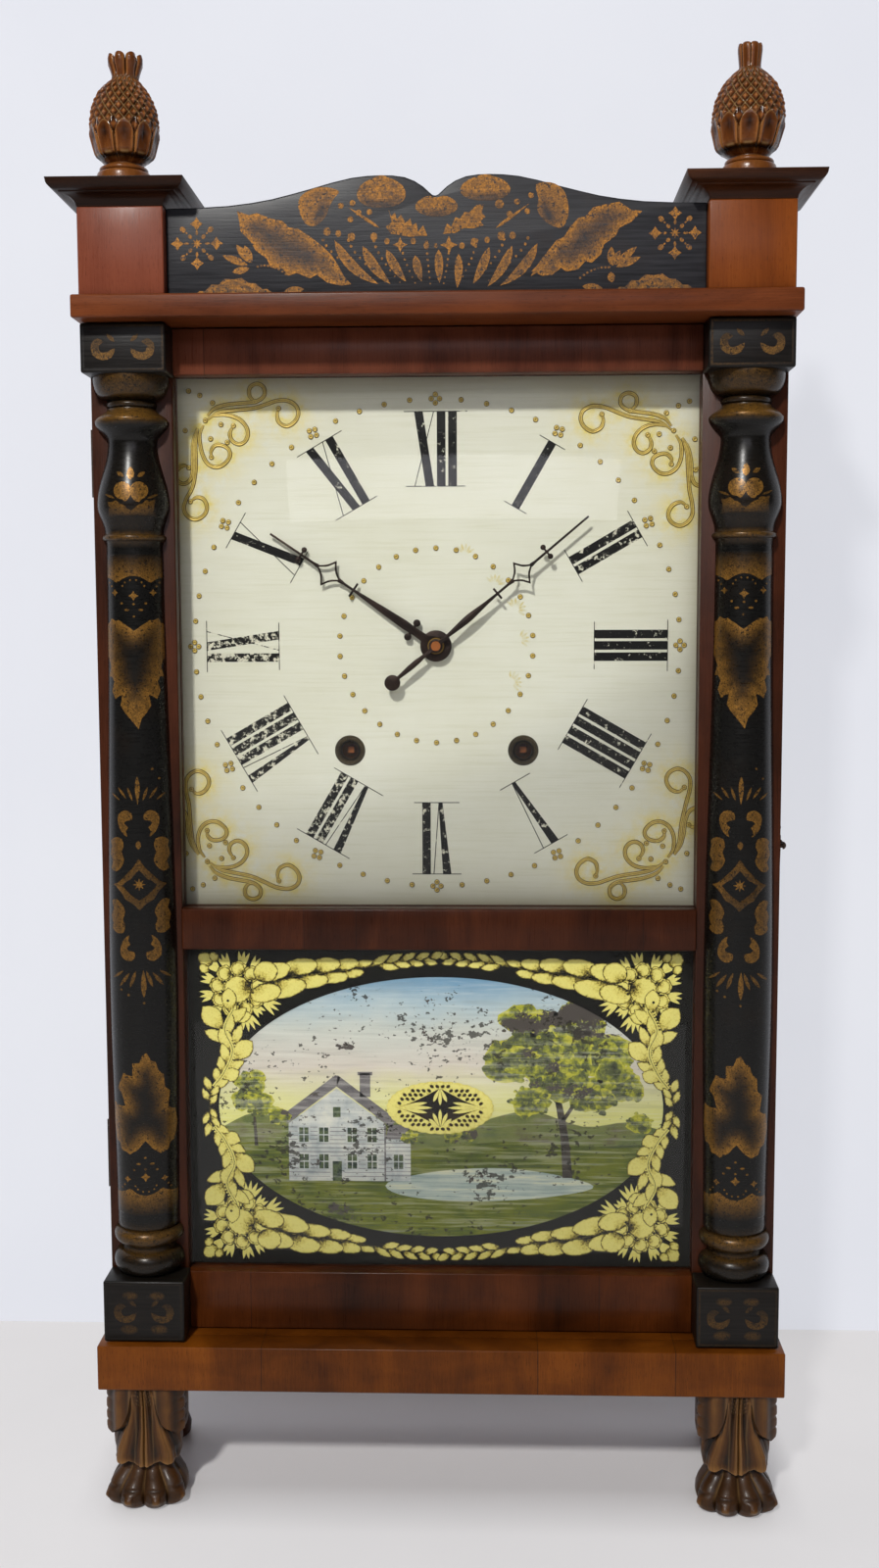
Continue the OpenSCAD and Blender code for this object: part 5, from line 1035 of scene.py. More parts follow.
def column_art():
    """The column's ornament from top to bottom."""
    art = Stencil()
    # Baluster: bud and two leaves over two fruits, and a dark-edged band under them.
    art.shape(petal(0, 647.6, 8.0, 4.4, math.pi / 2, 9, 0.45), 1.2, 0.95)
    for hand in (-1, 1):
        art.shape(petal(hand * 4.0, 649.5, 5.4, 2.6, math.pi / 2 - hand * 0.95), 1.2, 0.7)
        fruit = [(hand * 5.0 + 5.3 * math.cos(a), 641.2
                  + 5.4 * math.sin(a) - 1.6 * max(0, -math.sin(a)) * (hand * math.cos(a) < 0)) for a in ring(20)]
        art.shape(fruit, 1.3, inner_line(0.95, 0.35, 2.8, 1.0))
        art.shape(petal(hand * 9.5, 636.4, 7.0, 1.4, math.pi / 2 - hand * 1.15), gilt=0.45)
    band = [(-14.6, 625), (-14.2, 634.5), (-9, 635.2), (-4, 632.2), (0, 629.0), (4, 632.2), (9, 635.4), (14.2, 636),
            (14.6, 625)]
    art.shape(band, 1.4, lambda x, y, depth: 0.75 * unit((y - 625) / 7) * near(x, 0, 15))
    # Soft bands at both ends of the shaft, cut into scallops over a lace of dots.
    for edge, way in ((585.5, 1), (206.5, -1)):
        scallops = [(x, edge + way * (4.6 * abs(math.cos(math.pi * x / 20.0)) ** 0.8))
                    for x in np.linspace(-19.5, 19.5, 27)]
        outline = scallops + [(19.5, edge + way * 19), (-19.5, edge + way * 19)]
        art.shape(outline, 1.3, lambda x, y, depth: 0.85 * unit(1.1 - way * (y - edge) / 17) ** 1.4)
        for i in (-1, 0, 1):
            for turn in np.linspace(0.15, math.pi - 0.15, 6):
                x, y = i * 20 + 6.6 * math.cos(turn), edge - way * 2.2 + way * 4.4 * math.sin(turn)
                if abs(x) < 18:
                    art.shape(dot(x, y, 0.62), gilt=0.75)
        for x, y, size in ((0, edge - way * 7.5, 3.1), (11.5, edge - way * 5.5, 2.2), (-11.5, edge - way * 5.5, 2.2)):
            art.shape(star(x, y, size, 4, 0.5), gilt=0.9)
        for x, y in ((0, edge - way * 12.5), (-4.2, edge - way * 16), (4.2, edge - way * 16), (0, edge - way * 20),
                     (7.2, edge - way * 12), (-7.2, edge - way * 12)):
            art.shape(ellipse(x, y, 1.5 if abs(x) == 4.2 else 0.8, 0.7, 0, 9), gilt=0.8)
    # A serrated leaf under the upper band, and one standing on the lower band.
    down = [(0, 556.7), (4.5, 560), (9, 563.2), (14, 564.3), (17.5, 561), (18.8, 552), (17, 545), (19, 541),
            (15, 535), (16.4, 529), (13, 526), (14.6, 520), (12.6, 515), (8, 517.8), (9.2, 511), (6.4, 506.5),
            (3.4, 503), (1.6, 496.6)]
    down += [(-x, y) for x, y in down[-2:0:-1]]
    art.shape(down, 1.3, lambda x, y, depth: unit(1.15 - 0.25 * near(y, 545, 14))
              * np.maximum(rim_glow(5.4)(x, y, depth), 0.9 * unit((519 - y) / 8)))
    standing = [(2.2, 294.2), (5, 289), (7.5, 288), (9.4, 282), (12.2, 279.5), (12.8, 271), (15.6, 268), (14.4, 258),
                (18.4, 255), (19.4, 245), (17.6, 236), (13.5, 230), (9.4, 228.6), (5, 232), (0.4, 237.6),
                (-4.6, 231.6), (-9.6, 228.3), (-14.6, 230.2), (-18.4, 236), (-19.8, 246), (-19.2, 260.4),
                (-11.6, 259.6), (-16.4, 270.4), (-15.4, 273.4), (-12.6, 280.6), (-6.8, 279.0), (-6.6, 287.4),
                (-2.2, 287.8), (-0.4, 292.6)]
    art.shape(standing, 1.3, rim_glow(5.0))
    # Between them a star in a lozenge, commas, scrolls and fans of rays, the lower half a mirror of the upper.
    middle = 399.5
    art.shape(star(0, middle + 1, 3.9, 8, 0.42), gilt=0.9)
    lozenge = [(0, 416.5), (7.5, 407), (16.2, 400), (8.5, 391), (0, 384.5), (-8.5, 391), (-16.2, 400), (-7.5, 407)]
    inner = [(x * 0.66, middle + (y - middle) * 0.60) for x, y in lozenge]
    art.shape([lozenge, inner], 1.3, lambda x, y, depth: 0.30 + 0.45 * near(x, -13.5, 4) + 0.15 * near(y, 412, 4))
    comma = curve([(3.6, 441), (4.0, 445), (8, 446.6), (12.2, 443.6), (12.4, 438), (10.2, 433), (6.8, 430.2),
                   (7.6, 433.6), (6.2, 436.0), (8.6, 438.4), (6.8, 440.2)], True, 2)
    scroll = curve([(14.2, 429.5), (10.2, 428.6), (9.2, 424), (10.6, 420.6), (9.0, 416), (10.6, 411.6), (14.2, 408.2),
                    (17.6, 409.6), (16.4, 414), (18.2, 418.6), (17.0, 423.6), (17.6, 427)], True, 2)
    for hand in (-1, 1):
        for loop, level in ((comma, 0.8), (scroll, 0.72)):
            for up, share in ((1, 1), (-1, 0.9)):
                art.shape([(hand * x, middle + up * (y - middle)) for x, y in loop], 1.3,
                          lambda x, y, depth: share * level * (0.72 + 0.28 * np.exp(-depth / 1.6)))
        for lean, start, length, wide in ((0.35, 9, 9, 1.7), (0.62, 12, 8.5, 1.6), (0.9, 14, 7, 1.2)):
            turn = math.pi / 2 - hand * lean
            for up, longer, wider, level in ((1, 1, 1, 0.62), (-1, 1.3, 1.35, 0.5)):
                art.shape(petal(start * math.cos(turn), middle + up * (44.5 + start * math.sin(turn)),
                                length * longer, wide * wider, up * turn, 6), gilt=level)
    art.shape(petal(0, 449.8, 17.8, 3.0, math.pi / 2, 9, 0.6), 1.2, 0.8)
    art.shape(petal(1.5, 347, 17.5, 3.4, -math.pi / 2, 9, 0.55), 1.2, 0.7)
    art.shape(petal(0, 422.4, 5.4, 3.4, math.pi / 2), gilt=0.6)
    for x, y in ((1.5, 326), (-8, 331), (9, 472), (13, 466), (-12.6, 334)):
        art.shape(dot(x, y, 0.8), gilt=0.6)
    return art


for side, node in ((-1, "left_column"), (1, "right_column")):
    def wrapped(x, z, lift):
        r = np.interp(z, profile[:, 1], profile[:, 0])
        turn = math.asin(max(-WIDEST, min(WIDEST, x / r))) - side * FACING
        r += lift + WRAP_GAP
        return side * COLUMN_X + r * math.sin(turn), DOOR_Y - r * math.cos(turn), z

    column_art().make(node + "_stencil", wrapped, gilded, "door", "ebonised_wood")

# Blocks: two leaf scrolls on each, rubbed spots round those of the lower ones, worn bronze along the edges.
BLOCK_WIDE, BORDER_INSETS = 51.5, (1.4, 2.7)
CRESCENT = ((4.6, -0.4), (6.6, -5.6), (12.4, -7.4), (18.2, -4.2), (18.8, 2.4), (15.0, 5.4), (11.4, 3.4), (14.4, 1.0),
            (13.2, -2.8), (9.0, -2.4))
for node, faint in (("upper_blocks", 1.0), ("lower_blocks", 0.45)):
    box_low, box_high = node_box(node)
    half = BLOCK_WIDE / 2
    for side in (-1, 1):
        middle = (side * (box_high[0] - half), (box_low[2] + box_high[2]) / 2)
        tall = (box_high[2] - box_low[2]) / 2
        art = Stencil()
        border = [rectangle(0, 0, half - inset, tall - inset) for inset in BORDER_INSETS]
        art.shape(border, 1.5, lambda x, y, depth: 0.30 * faint * unit(
            0.4 + np.sin(0.31 * x + 1.7 * side) + np.sin(0.43 * y + x * 0.2)))
        for hand in (-1, 1):
            crescent = curve([(hand * x, y) for x, y in CRESCENT], True, 2)
            art.shape(crescent, 1.3, lambda x, y, depth: faint * (0.35 + 0.55 * near(y, -5, 5)))
            art.shape(petal(hand * 4.8, 3.4, 6.6, 2.6, math.pi / 2 - hand * 0.8), 1.3, 0.5 * faint)
            if faint < 1:
                art.shape(ellipse(hand * 8.5, 10.5, 5.4, 3.2), 1.4, lambda x, y, depth: 0.35 * unit(depth / 2))
                art.shape(ellipse(hand * 9.5, -11.5, 6.0, 3.6), 1.4, lambda x, y, depth: 0.30 * unit(depth / 2))
        art.make("%s_%s_stencil" % ("left" if side < 0 else "right", node.split("_")[0]),
                 lambda x, y, lift: (middle[0] + side * x, box_low[1] - lift, middle[1] + y),
                 block_black, "door", "ebonised_wood")

# Dial: paint with stains, numerals, raised and gilt dots and scrolls.
dial_paint = paint("dial_paint", (234, 235, 228), (224, 224, 211), 30, 0.5, stain=(232, 212, 100), lines=0.05,
                   bump=0.02, ior=1.2)
finish_node("dial_board", dial_paint)
numeral_black = paint("numeral_black", (20, 20, 22), (34, 33, 34), 60, 0.5, flakes=(220, 218, 204), flake_share=0.60,
                      ior=1.2)


def raised_gilt():
    """Gilt gesso: a painted highlight of pale gold along its tops, painted shade of brown at its foot, where the gold
    ends.
    """
    g = Graph("dial_gilt")
    fine = g.noise(700, 4, 0.6)
    tone = g.value("painted_light") + (fine - 0.5) * 0.7
    colour = g.ramp(tone, [(0.0, rgb(84, 66, 26)), (0.35, rgb(150, 122, 54)), (0.8, rgb(206, 182, 100))])
    return g.surface(Base_Color=colour, Metallic=0.35, Roughness=g.span(fine, 0.3, 0.7, 0.3, 0.5),
                     Normal=g.bump(fine, 0.05), IOR=1.45)


gilt_look = raised_gilt()


def on_dial(x, y, lift):
    return DIAL_X + x, DIAL_FRONT - lift, DIAL_Z + y


# Scrolls of the top right corner, from the middle of the dial; the other corners turn the same curves.
SCROLLS = (
    [(147.1, 136.1), (143.1, 140.6), (136.3, 143.4), (128.5, 144.6), (120.3, 146), (115.6, 149.8), (116.2, 154.6),
     (120.6, 156.6), (125, 154.2), (125, 149.2), (121.6, 145.8)],
    [(147.1, 133.9), (140.9, 138.4), (133, 140.1), (121.7, 141.9), (113.8, 144.7), (105.9, 147.8), (98, 148.7),
     (92.4, 146), (90.7, 141), (93, 136), (98.1, 133.1), (103.2, 135.3), (104.8, 139.8), (103.9, 143.7)],
    [(144.3, 136.1), (136.4, 137.1), (129.7, 135.1), (125.2, 130.7), (123.9, 125.7), (125.8, 121.3), (129.8, 119.6),
     (133.7, 121.8), (134.8, 126.2), (132.5, 130.7)],
    [(150, 130.6), (153.2, 125), (153.5, 117.2), (150.8, 110.5), (145.7, 107), (140.1, 107.4), (135.8, 111.7),
     (136, 116.2), (140, 118.9), (144.5, 118.9), (147.3, 116.1), (147.4, 112.7)],
    [(153.9, 128.3), (156.9, 119.4), (157.9, 108.2), (158.8, 97), (160.6, 88.1), (160.7, 81.3), (157.4, 76.3),
     (152.3, 74.6), (147.2, 77.5), (145.8, 82.5), (148.8, 87.6), (153.8, 89.2), (157.2, 86.4)],
    [(153.9, 128.9), (157.6, 122.7), (159.6, 114), (160, 106), (161.6, 101), (165.5, 99.2), (169.4, 101.4),
     (170.8, 105), (169.4, 108.8), (165.5, 110.6), (162.4, 109)])
CORNER_DOTS = ((148.6, 133.3), (144, 144.1), (151.4, 148.5), (158.2, 151.2), (161.8, 128), (146.7, 122.8),
               (139.6, 131.2), (136.7, 120.7))
# The gilder drew each corner by hand. For each: x, y, and how far the parts there lie from the turned pattern.
HAND_DRAWN = {
    (1, 1): ((147, 135, 0, 0),),
    (-1, 1): ((-147, 135, 3.1, 8.7), (-121, 151, 9, 7.5), (-98, 141, 4.6, 4.4), (-130, 126, 5.9, 6.9),
              (-142, 113, 6.2, 7.5), (-158, 104, 7, 2.5), (-152, 82, 0.6, 5.6)),
    (-1, -1): ((-147, -135, 0, -5), (-121, -151, 1.2, -6.2), (-98, -141, 1.9, -7.5), (-130, -126, 1.9, -5),
               (-142, -113, -1.2, -5.6), (-152, -82, -0.6, -5)),
    (1, -1): ((147, -135, -1.9, -4.4), (121, -151, -5.2, -5.6), (98, -141, -1.2, -3.1), (130, -126, -3.7, -5.6),
              (142, -113, -1.9, -5.6), (152, -82, 0.6, -3.7))}
gilt_points, gilt_faces, painted_light_levels = [], [], []


def hand_drawn(x, y, corner):
    pins = np.array(HAND_DRAWN[corner], float)
    weight = np.exp(-((pins[:, 0] - x) ** 2 + (pins[:, 1] - y) ** 2) / 15.0 ** 2) + 1e-9
    return x + weight @ pins[:, 2] / weight.sum(), y + weight @ pins[:, 3] / weight.sum()


def gilt_dot(x, y, size=1.75, tall=0.9):
    """A dome of gesso with a dimple."""
    start, sides = len(gilt_points), 12
    # The third number of each ring is painted light: bright on the dome's ring, dimmer in the dimple, dark at the
    # foot.
    for r, h, painted_light in ((1, 0, 0), (0.92, 0.7, 0.1), (0.6, 1.0, 0.9), (0.28, 0.72, 0.4), (0.02, 0.55, 0.3)):
        painted_light_levels.extend([painted_light] * sides)
        gilt_points.extend(on_dial(*polar(x, y, size * r, a), tall * h) for a in ring(sides))
    gilt_faces.extend(tuple(start + i for i in f) for f in grid_faces(5, sides))


def gilt_ridge(line, wide=1.25, tall=0.85):
    """A raised scroll with a groove along it, thinner at its ends."""
    line = np.asarray(curve(line, False, 6))
    aside = ahead_of(line)[:, ::-1] * (-1, 1)
    start, share = len(gilt_points), np.linspace(0, 1, len(line))
    grow = 0.55 + 0.45 * np.minimum(1, np.minimum(share, 1 - share) * 8)
    # Across the scroll: offset, height and painted light, a highlight on its two ridges and shade in the groove and
    # at the foot.
    section = ((-1.1, 0, 0), (-0.9, 0.6, 0), (-0.5, 1.0, 1), (-0.12, 0.62, 0.45), (0.12, 0.62, 0.45), (0.5, 1.0, 1),
               (0.9, 0.6, 0), (1.1, 0, 0))
    for p, n, g in zip(line, aside, grow):
        gilt_points.extend(on_dial(*(p + n * wide * g * u), tall * g * h) for u, h, _ in section)
        painted_light_levels.extend(painted_light for _, _, painted_light in section)
    gilt_faces.extend(tuple(start + i for i in f) for f in grid_faces(len(line), len(section), False))


CORNERS = ((1, 1), (-1, 1), (-1, -1), (1, -1))
scroll_lines = []
for sx, sy in CORNERS:
    for scroll in SCROLLS:
        turned = [hand_drawn(sx * x, sy * y, (sx, sy)) for x, y in scroll]
        scroll_lines.append(np.array(curve(turned, False, 3)))
        gilt_ridge(turned)
        gilt_dot(*turned[-1], 1.7)
    for x, y in CORNER_DOTS:
        gilt_dot(*hand_drawn(sx * x, sy * y, (sx, sy)))
CHAPTER_DOTS, INNER_DOTS, HOUR_DOTS = 154.0, 61.5, 2.6
for i in range(60):
    turn = math.radians(6 * i)
    x, y = CHAPTER_DOTS * math.sin(turn), CHAPTER_DOTS * math.cos(turn)
    if i % 5:
        gilt_dot(x, y)
    else:
        for j in range(4):
            gilt_dot(*polar(x, y, HOUR_DOTS, turn + j * math.pi / 2))
for i in range(30):
    turn = math.radians(12 * i)
    gilt_dot(INNER_DOTS * math.sin(turn), INNER_DOTS * math.cos(turn))
piece("dial_gilding", gilt_points, gilt_faces, gilt_look, "case", "painted_dial", 70, (), {"painted_light": painted_light_levels})

# The painted face: a fine sheet over the board, stained round the scrolls and dulled at its edges.
FACE_X, FACE_Z, FACE_STEP, FACE_EDGE, FACE_LIFT, HOLE = 168.0, 167.5, 2.2, 0.4, 0.04, 8.2
board_low, board_high = (node_box("dial_board")[i][0] - DIAL_X for i in (0, 1))
xs = np.arange(board_low + FACE_EDGE, board_high - FACE_EDGE, FACE_STEP)
zs = np.arange(-FACE_Z, FACE_Z + 1, FACE_STEP)
gx, gz = (v.ravel() for v in np.meshgrid(xs, zs))
gap = np.min([np.hypot(gx - x, gz - z) for line in scroll_lines for x, z in line[::2]], axis=0)
stain = 0.85 * np.exp(-(gap / 4.2) ** 1.3) + 0.26 * np.exp(-(gap / 15) ** 2)
rim = np.minimum(FACE_X - np.abs(gx), FACE_Z - np.abs(gz))
# Browner towards the edges of the sheet.
edge_brown = 0.55 * np.exp(-(np.abs(rim) / 6.0) ** 1.2) + 0.10 * np.exp(-np.abs(rim) / 30)
holes = ((0, 0), (WINDING_SIDE, -WINDING_DROP), (-WINDING_SIDE, -WINDING_DROP))
faces = [f for f in grid_faces(len(zs), len(xs), False)
         if all(math.hypot(gx[f[0]] + FACE_STEP / 2 - x, gz[f[0]] + FACE_STEP / 2 - z) > HOLE for x, z in holes)]
piece("dial_face", [on_dial(x, z, FACE_LIFT) for x, z in zip(gx, gz)], faces, dial_paint, "case", "painted_dial", 60,
      (), {"stain": stain, "edge_brown": edge_brown})

# Roman numerals, read from the middle outwards: bars, a V or an X, between two thin lines.
BAR, THIN, THIN_HALF, SPACE, INNER_R, OUTER_R = 5.4, 0.55, 0.25, 1.7, 100.0, 146.2
NUMERALS = ("XII", "I", "II", "III", "IIII", "V", "VI", "VII", "VIII", "IX", "X", "XI")
WORN = {2: 0.35, 4: 0.2, 7: 0.55, 8: 0.55, 9: 0.75, 10: 0.1, 5: 0.15, 6: 0.15}
WIDTHS = {"I": BAR, "V": 11.5, "X": 12.5}


def bar(inner_from, inner_to, outer_from, outer_to):
    """A stroke from the inner line to the outer one."""
    return [(inner_from, INNER_R), (inner_to, INNER_R), (outer_to, OUTER_R), (outer_from, OUTER_R)]


numerals = Stencil()
for hour, letters in enumerate(NUMERALS):
    turn = math.radians(-30 * hour)
    total = sum(WIDTHS[c] for c in letters) + SPACE * (len(letters) - 1)
    at, wear = -total / 2, WORN.get(hour, 0.0)
    for letter in letters:
        end = at + WIDTHS[letter]
        if letter == "I":
            strokes = [bar(at, end, at, end)]
        elif letter == "V":
            strokes = [bar(at + 5.6, at + 8.2, at, at + BAR), bar(at + 7.6, at + 7.6 + THIN, end - THIN, end)]
        else:
            strokes = [bar(at + 7.1, end, at, at + BAR), bar(at, at + THIN, end - THIN, end)]
        level = wear * (0.6 if letter == letters[0] and len(letters) > 2 else 1.0)
        for k, stroke in enumerate(strokes):
            numerals.shape(laid(stroke, 0, 0, turn), None if k else 2.6, level, 0.10 + 0.02 * k)
        at = end + SPACE
    for r, reach in ((OUTER_R, 6.5), (INNER_R, 5.2)):
        half = total / 2 + reach
        numerals.shape(laid(rectangle(0, r, half, THIN_HALF), 0, 0, turn), None, 0.0, 0.15)
numerals.make("numerals", on_dial, numeral_black, "case", "painted_dial", "wear")

# Faint sprays beside the inner ring, worn almost away.
faded_gold = paint("faded_gold", (214, 200, 140), (224, 216, 176), 60, 0.5, flakes=(222, 220, 198), flake_share=0.56)
sprays = Stencil()
for x, y, lean, count in ((50, 23, 0.9, 8), (47.5, -23, 0.4, 7), (37, 38, 1.3, 6), (52, 4, 0.2, 5), (18, 57, 1.4, 5)):
    for i in range(count):
        turn = lean + (i - (count - 1) / 2) * 0.42
        sprays.shape(petal(*polar(x, y, 2.2, turn), 5.2, 1.7, turn, 6), gilt=0.6, lift=0.09)
sprays.make("faded_sprays", on_dial, faded_gold, "case", "painted_dial", "wear")

# Tablet: painted on the back of the glass, the gilt border first, then the black ground, then the scene.
TABLET_X, TABLET_Z, SCENE_HALF = 0.0, 250.6, (143.0, 85.5)
VIEW_HALF = (163.5, 107.0)


def on_tablet(x, y, lift):
    return TABLET_X + x, GLASS_BACK + lift, TABLET_Z + y


def leaf_gold():
    """Bronze leaf shaded with dark hatching, as the piece's 'gilt' value says."""
    g = Graph("leaf_gold")
    fine = g.noise(900, 3, 0.7)
    cloud = g.noise(120, 4, 0.6)
    tone = g.value("gilt") + (fine - 0.5) * 1.5 + (cloud - 0.5) * 0.45
    colour = g.ramp(tone, [(0.12, rgb(34, 32, 20)), (0.38, rgb(150, 134, 58)), (0.60, rgb(226, 212, 112)),
                           (0.95, rgb(243, 234, 142))])
    return g.surface(Base_Color=colour, Roughness=0.6, Normal=g.bump(fine, 0.02), IOR=1.1)


def scene_paint(name, stops, scale, streak=0.0, lost=0.66, lost_scale=60.0, by_height=None, light=0.0):
    """Scene paint: tones by noise, or by height for the sky, with brush streaks and grey-brown losses."""
    g = Graph(name)
    blot = g.noise(scale, 5, 0.62, 0.3)
    brush = g.noise(420, 4, 0.6, stretch=(0.05, 1, 1))
    if by_height:
        tone = g.span(g.axis(2), by_height[0] * MM, by_height[1] * MM) + (blot - 0.5) * 0.22
    else:
        tone = blot * (1 - streak) + brush * streak
    if light:
        tone += g.value("gilt") * light
    colour = g.ramp(tone, [(at, rgb(*c)) for at, c in stops])
    colour = g.mix(g.span(brush, 0.50, 0.66, 0, 0.20), colour, (1, 1, 1, 1))
    colour = g.mix(g.span(brush, 0.46, 0.34, 0, 0.16), colour, rgb(120, 122, 124))
    worn = g.noise(lost_scale, 6, 0.62, shift=(0.2, 0.5, 0.9), stretch=(0.6, 1, 1)) * 0.86 + g.noise(700, 3) * 0.14
    colour = g.mix(g.span(worn, lost, lost + 0.012), colour, rgb(86, 80, 78))
    flake = (g.noise(340, 3, 0.6, shift=(0.7, 0.1, 0.4), stretch=(0.7, 1, 1)) * 0.6
             + g.noise(24, 3, shift=(0.9, 0.3, 0.6)) * 0.4)
    colour = g.mix(g.span(flake, 0.585, 0.60, 0, 0.85), colour, rgb(44, 40, 34))
    return g.surface(Base_Color=colour, Roughness=0.6, Normal=g.bump(brush, 0.02), IOR=1.1)


gold_leaf = leaf_gold()
glass_black = paint("glass_black", (7, 7, 5), (15, 14, 10), 50, 0.6, flakes=(46, 43, 36), flake_share=0.70, ior=1.1)
sky = scene_paint("sky_paint", [(0.0, (236, 234, 150)), (0.16, (232, 230, 176)), (0.36, (222, 214, 208)),
                                (0.62, (214, 218, 216)), (0.80, (186, 206, 220)), (0.97, (128, 170, 206))], 26,
                  lost=0.655, lost_scale=70, by_height=(243, 338))
hill_paint = scene_paint("hill_paint", [(0.36, (96, 112, 62)), (0.50, (128, 136, 76)), (0.64, (104, 96, 74))], 60,
                         0.3, 0.66)
field_paint = scene_paint("field_paint", [(0.34, (52, 66, 24)), (0.46, (92, 106, 26)), (0.56, (128, 134, 34)),
                                          (0.68, (70, 92, 44))], 34, 0.55, 0.62, 34)
water_paint = scene_paint("water_paint", [(0.35, (150, 172, 176)), (0.52, (196, 206, 200)), (0.66, (222, 220, 182))],
                          60, 0.8, 0.66)
foliage = scene_paint("foliage_paint", [(0.30, (36, 40, 28)), (0.42, (66, 74, 46)), (0.54, (98, 106, 62)),
                                        (0.66, (150, 156, 48)), (0.80, (206, 202, 66))], 200, 0, 0.58, 30, light=0.30)
bark = scene_paint("bark_paint", [(0.35, (40, 34, 30)), (0.6, (84, 76, 66))], 90, 0, 0.7)
wall_white = scene_paint("farm_white", [(0.35, (168, 178, 186)), (0.5, (206, 210, 212)), (0.66, (228, 228, 222))], 80,
                         0.2, 0.60, 90)
roof_grey = scene_paint("farm_roof", [(0.35, (96, 92, 100)), (0.6, (138, 134, 138))], 90, 0.5, 0.62, 90)
window_dark = scene_paint("farm_window", [(0.4, (44, 62, 52)), (0.6, (92, 108, 70))], 200, 0, 0.7)

gilding = Stencil()
LEAF_LIFT, LEAF_UNDER = 0.30, 0.0006
leaf_lift = itertools.count(LEAF_LIFT - LEAF_UNDER, -LEAF_UNDER)


def leaf_shape(loop, step, dark_from):
    """A shaded leaf over the earlier ones: a thin dark edge, and hatching towards dark_from."""
    far = max(math.dist(p, dark_from) for p in loop) if dark_from else 1

    def level(x, y, depth):
        tone = 0.97 - 0.95 * np.exp(-(depth / 0.5) ** 2)
        if dark_from:
            tone -= 0.95 * unit(1 - np.hypot(x - dark_from[0], y - dark_from[1]) / (0.52 * far))
        return tone

    gilding.shape(loop, step, level if step else 0.92, next(leaf_lift))


def along(line, share):
    """The point at that share of the line's length, and the line's direction there."""
    line = np.asarray(line)
    run = np.concatenate([[0], np.cumsum(np.linalg.norm(np.diff(line, axis=0), axis=1))])
    at = share * run[-1]
    p = [np.interp(at, run, line[:, i]) for i in (0, 1)]
    q = [np.interp(min(at + 1, run[-1]), run, line[:, i]) - np.interp(max(at - 1, 0), run, line[:, i])
         for i in (0, 1)]
    return p, math.atan2(q[1], q[0])


def stem_line(line, wide, gilt, beads=0.0):
    """A strip along the line, with a row of beads that far to its left."""
    line = np.asarray(line)
    aside = ahead_of(line)[:, ::-1] * (-1, 1) * wide / 2
    gilding.shape([tuple(p) for p in line + aside] + [tuple(p) for p in (line - aside)[::-1]], None, gilt, 0.055)
    if beads:
        count = int(np.sum(np.linalg.norm(np.diff(line, axis=0), axis=1)) / 1.9)
        for i in range(count):
            (x, y), turn = along(line, (i + 0.5) / count)
            gilding.shape(dot(*polar(x, y, beads, turn + math.pi / 2), 0.62), None, 0.9, 0.05)


def shell(x, y, turn, wide, tall, parts=16):
    """A round overlapping leaf that stands on its stem."""
    return laid([(wide / 2 * math.cos(a), tall * (0.5 + 0.5 * math.sin(a))) for a in ring(parts)], x, y, turn)


FLOWER = (129.5, 77.0)
# Slender leaves round the flower: direction, reach, how many and how long.
FLOWER_SPRAYS = ((0.35, 17, 3, 9), (1.15, 17, 3, 9), (0.78, 19, 3, 10), (2.2, 17, 3, 9), (-0.75, 17, 3, 9),
                 (1.75, 17, 3, 9), (-0.2, 17, 3, 9), (3.55, 19, 4, 11), (4.4, 18, 4, 11), (3.95, 16, 3, 8))
# The long side's leaves: share of the stem, side, width and height.
ROUND_LEAVES = ((0.03, -1, 17, 12), (0.06, 1, 13, 13.5), (0.10, 1, 19, 11.5), (0.14, -1, 24, 12), (0.25, 1, 19, 11),
                (0.30, -1, 19, 9), (0.39, 1, 17, 9.5), (0.43, -1, 16, 7.5), (0.51, 1, 14, 7.5), (0.54, -1, 12, 5.5),
                (0.61, 1, 11, 5))
# The short side's leaves: share of the stem, side, length, width and lean.
SIDE_LEAVES = ((0.06, -1, 15, 7.5, 0.6), (0.10, 1, 13, 6.5, 0.9), (0.16, 1, 15, 6, 0.6), (0.22, -1, 18, 10, 0.55),
               (0.28, 1, 13, 4.5, 0.7), (0.32, -1, 15, 6, 0.7), (0.38, 1, 14, 5, 0.6), (0.43, -1, 15, 7, 0.6),
               (0.47, 1, 12, 4.4, 0.7), (0.52, 1, 17, 9, 0.4), (0.56, -1, 13, 5, 0.7), (0.61, 1, 12, 5, 0.6),
               (0.66, -1, 11, 4.4, 0.7), (0.71, 1, 12, 7, 0.5), (0.76, -1, 10, 4, 0.6), (0.81, 1, 10, 4, 0.6),
               (0.86, -1, 10, 4, 0.6), (0.91, 1, 9, 3.6, 0.5), (0.95, -1, 9, 3.6, 0.5), (0.98, 1, 8, 3.4, 0.5))
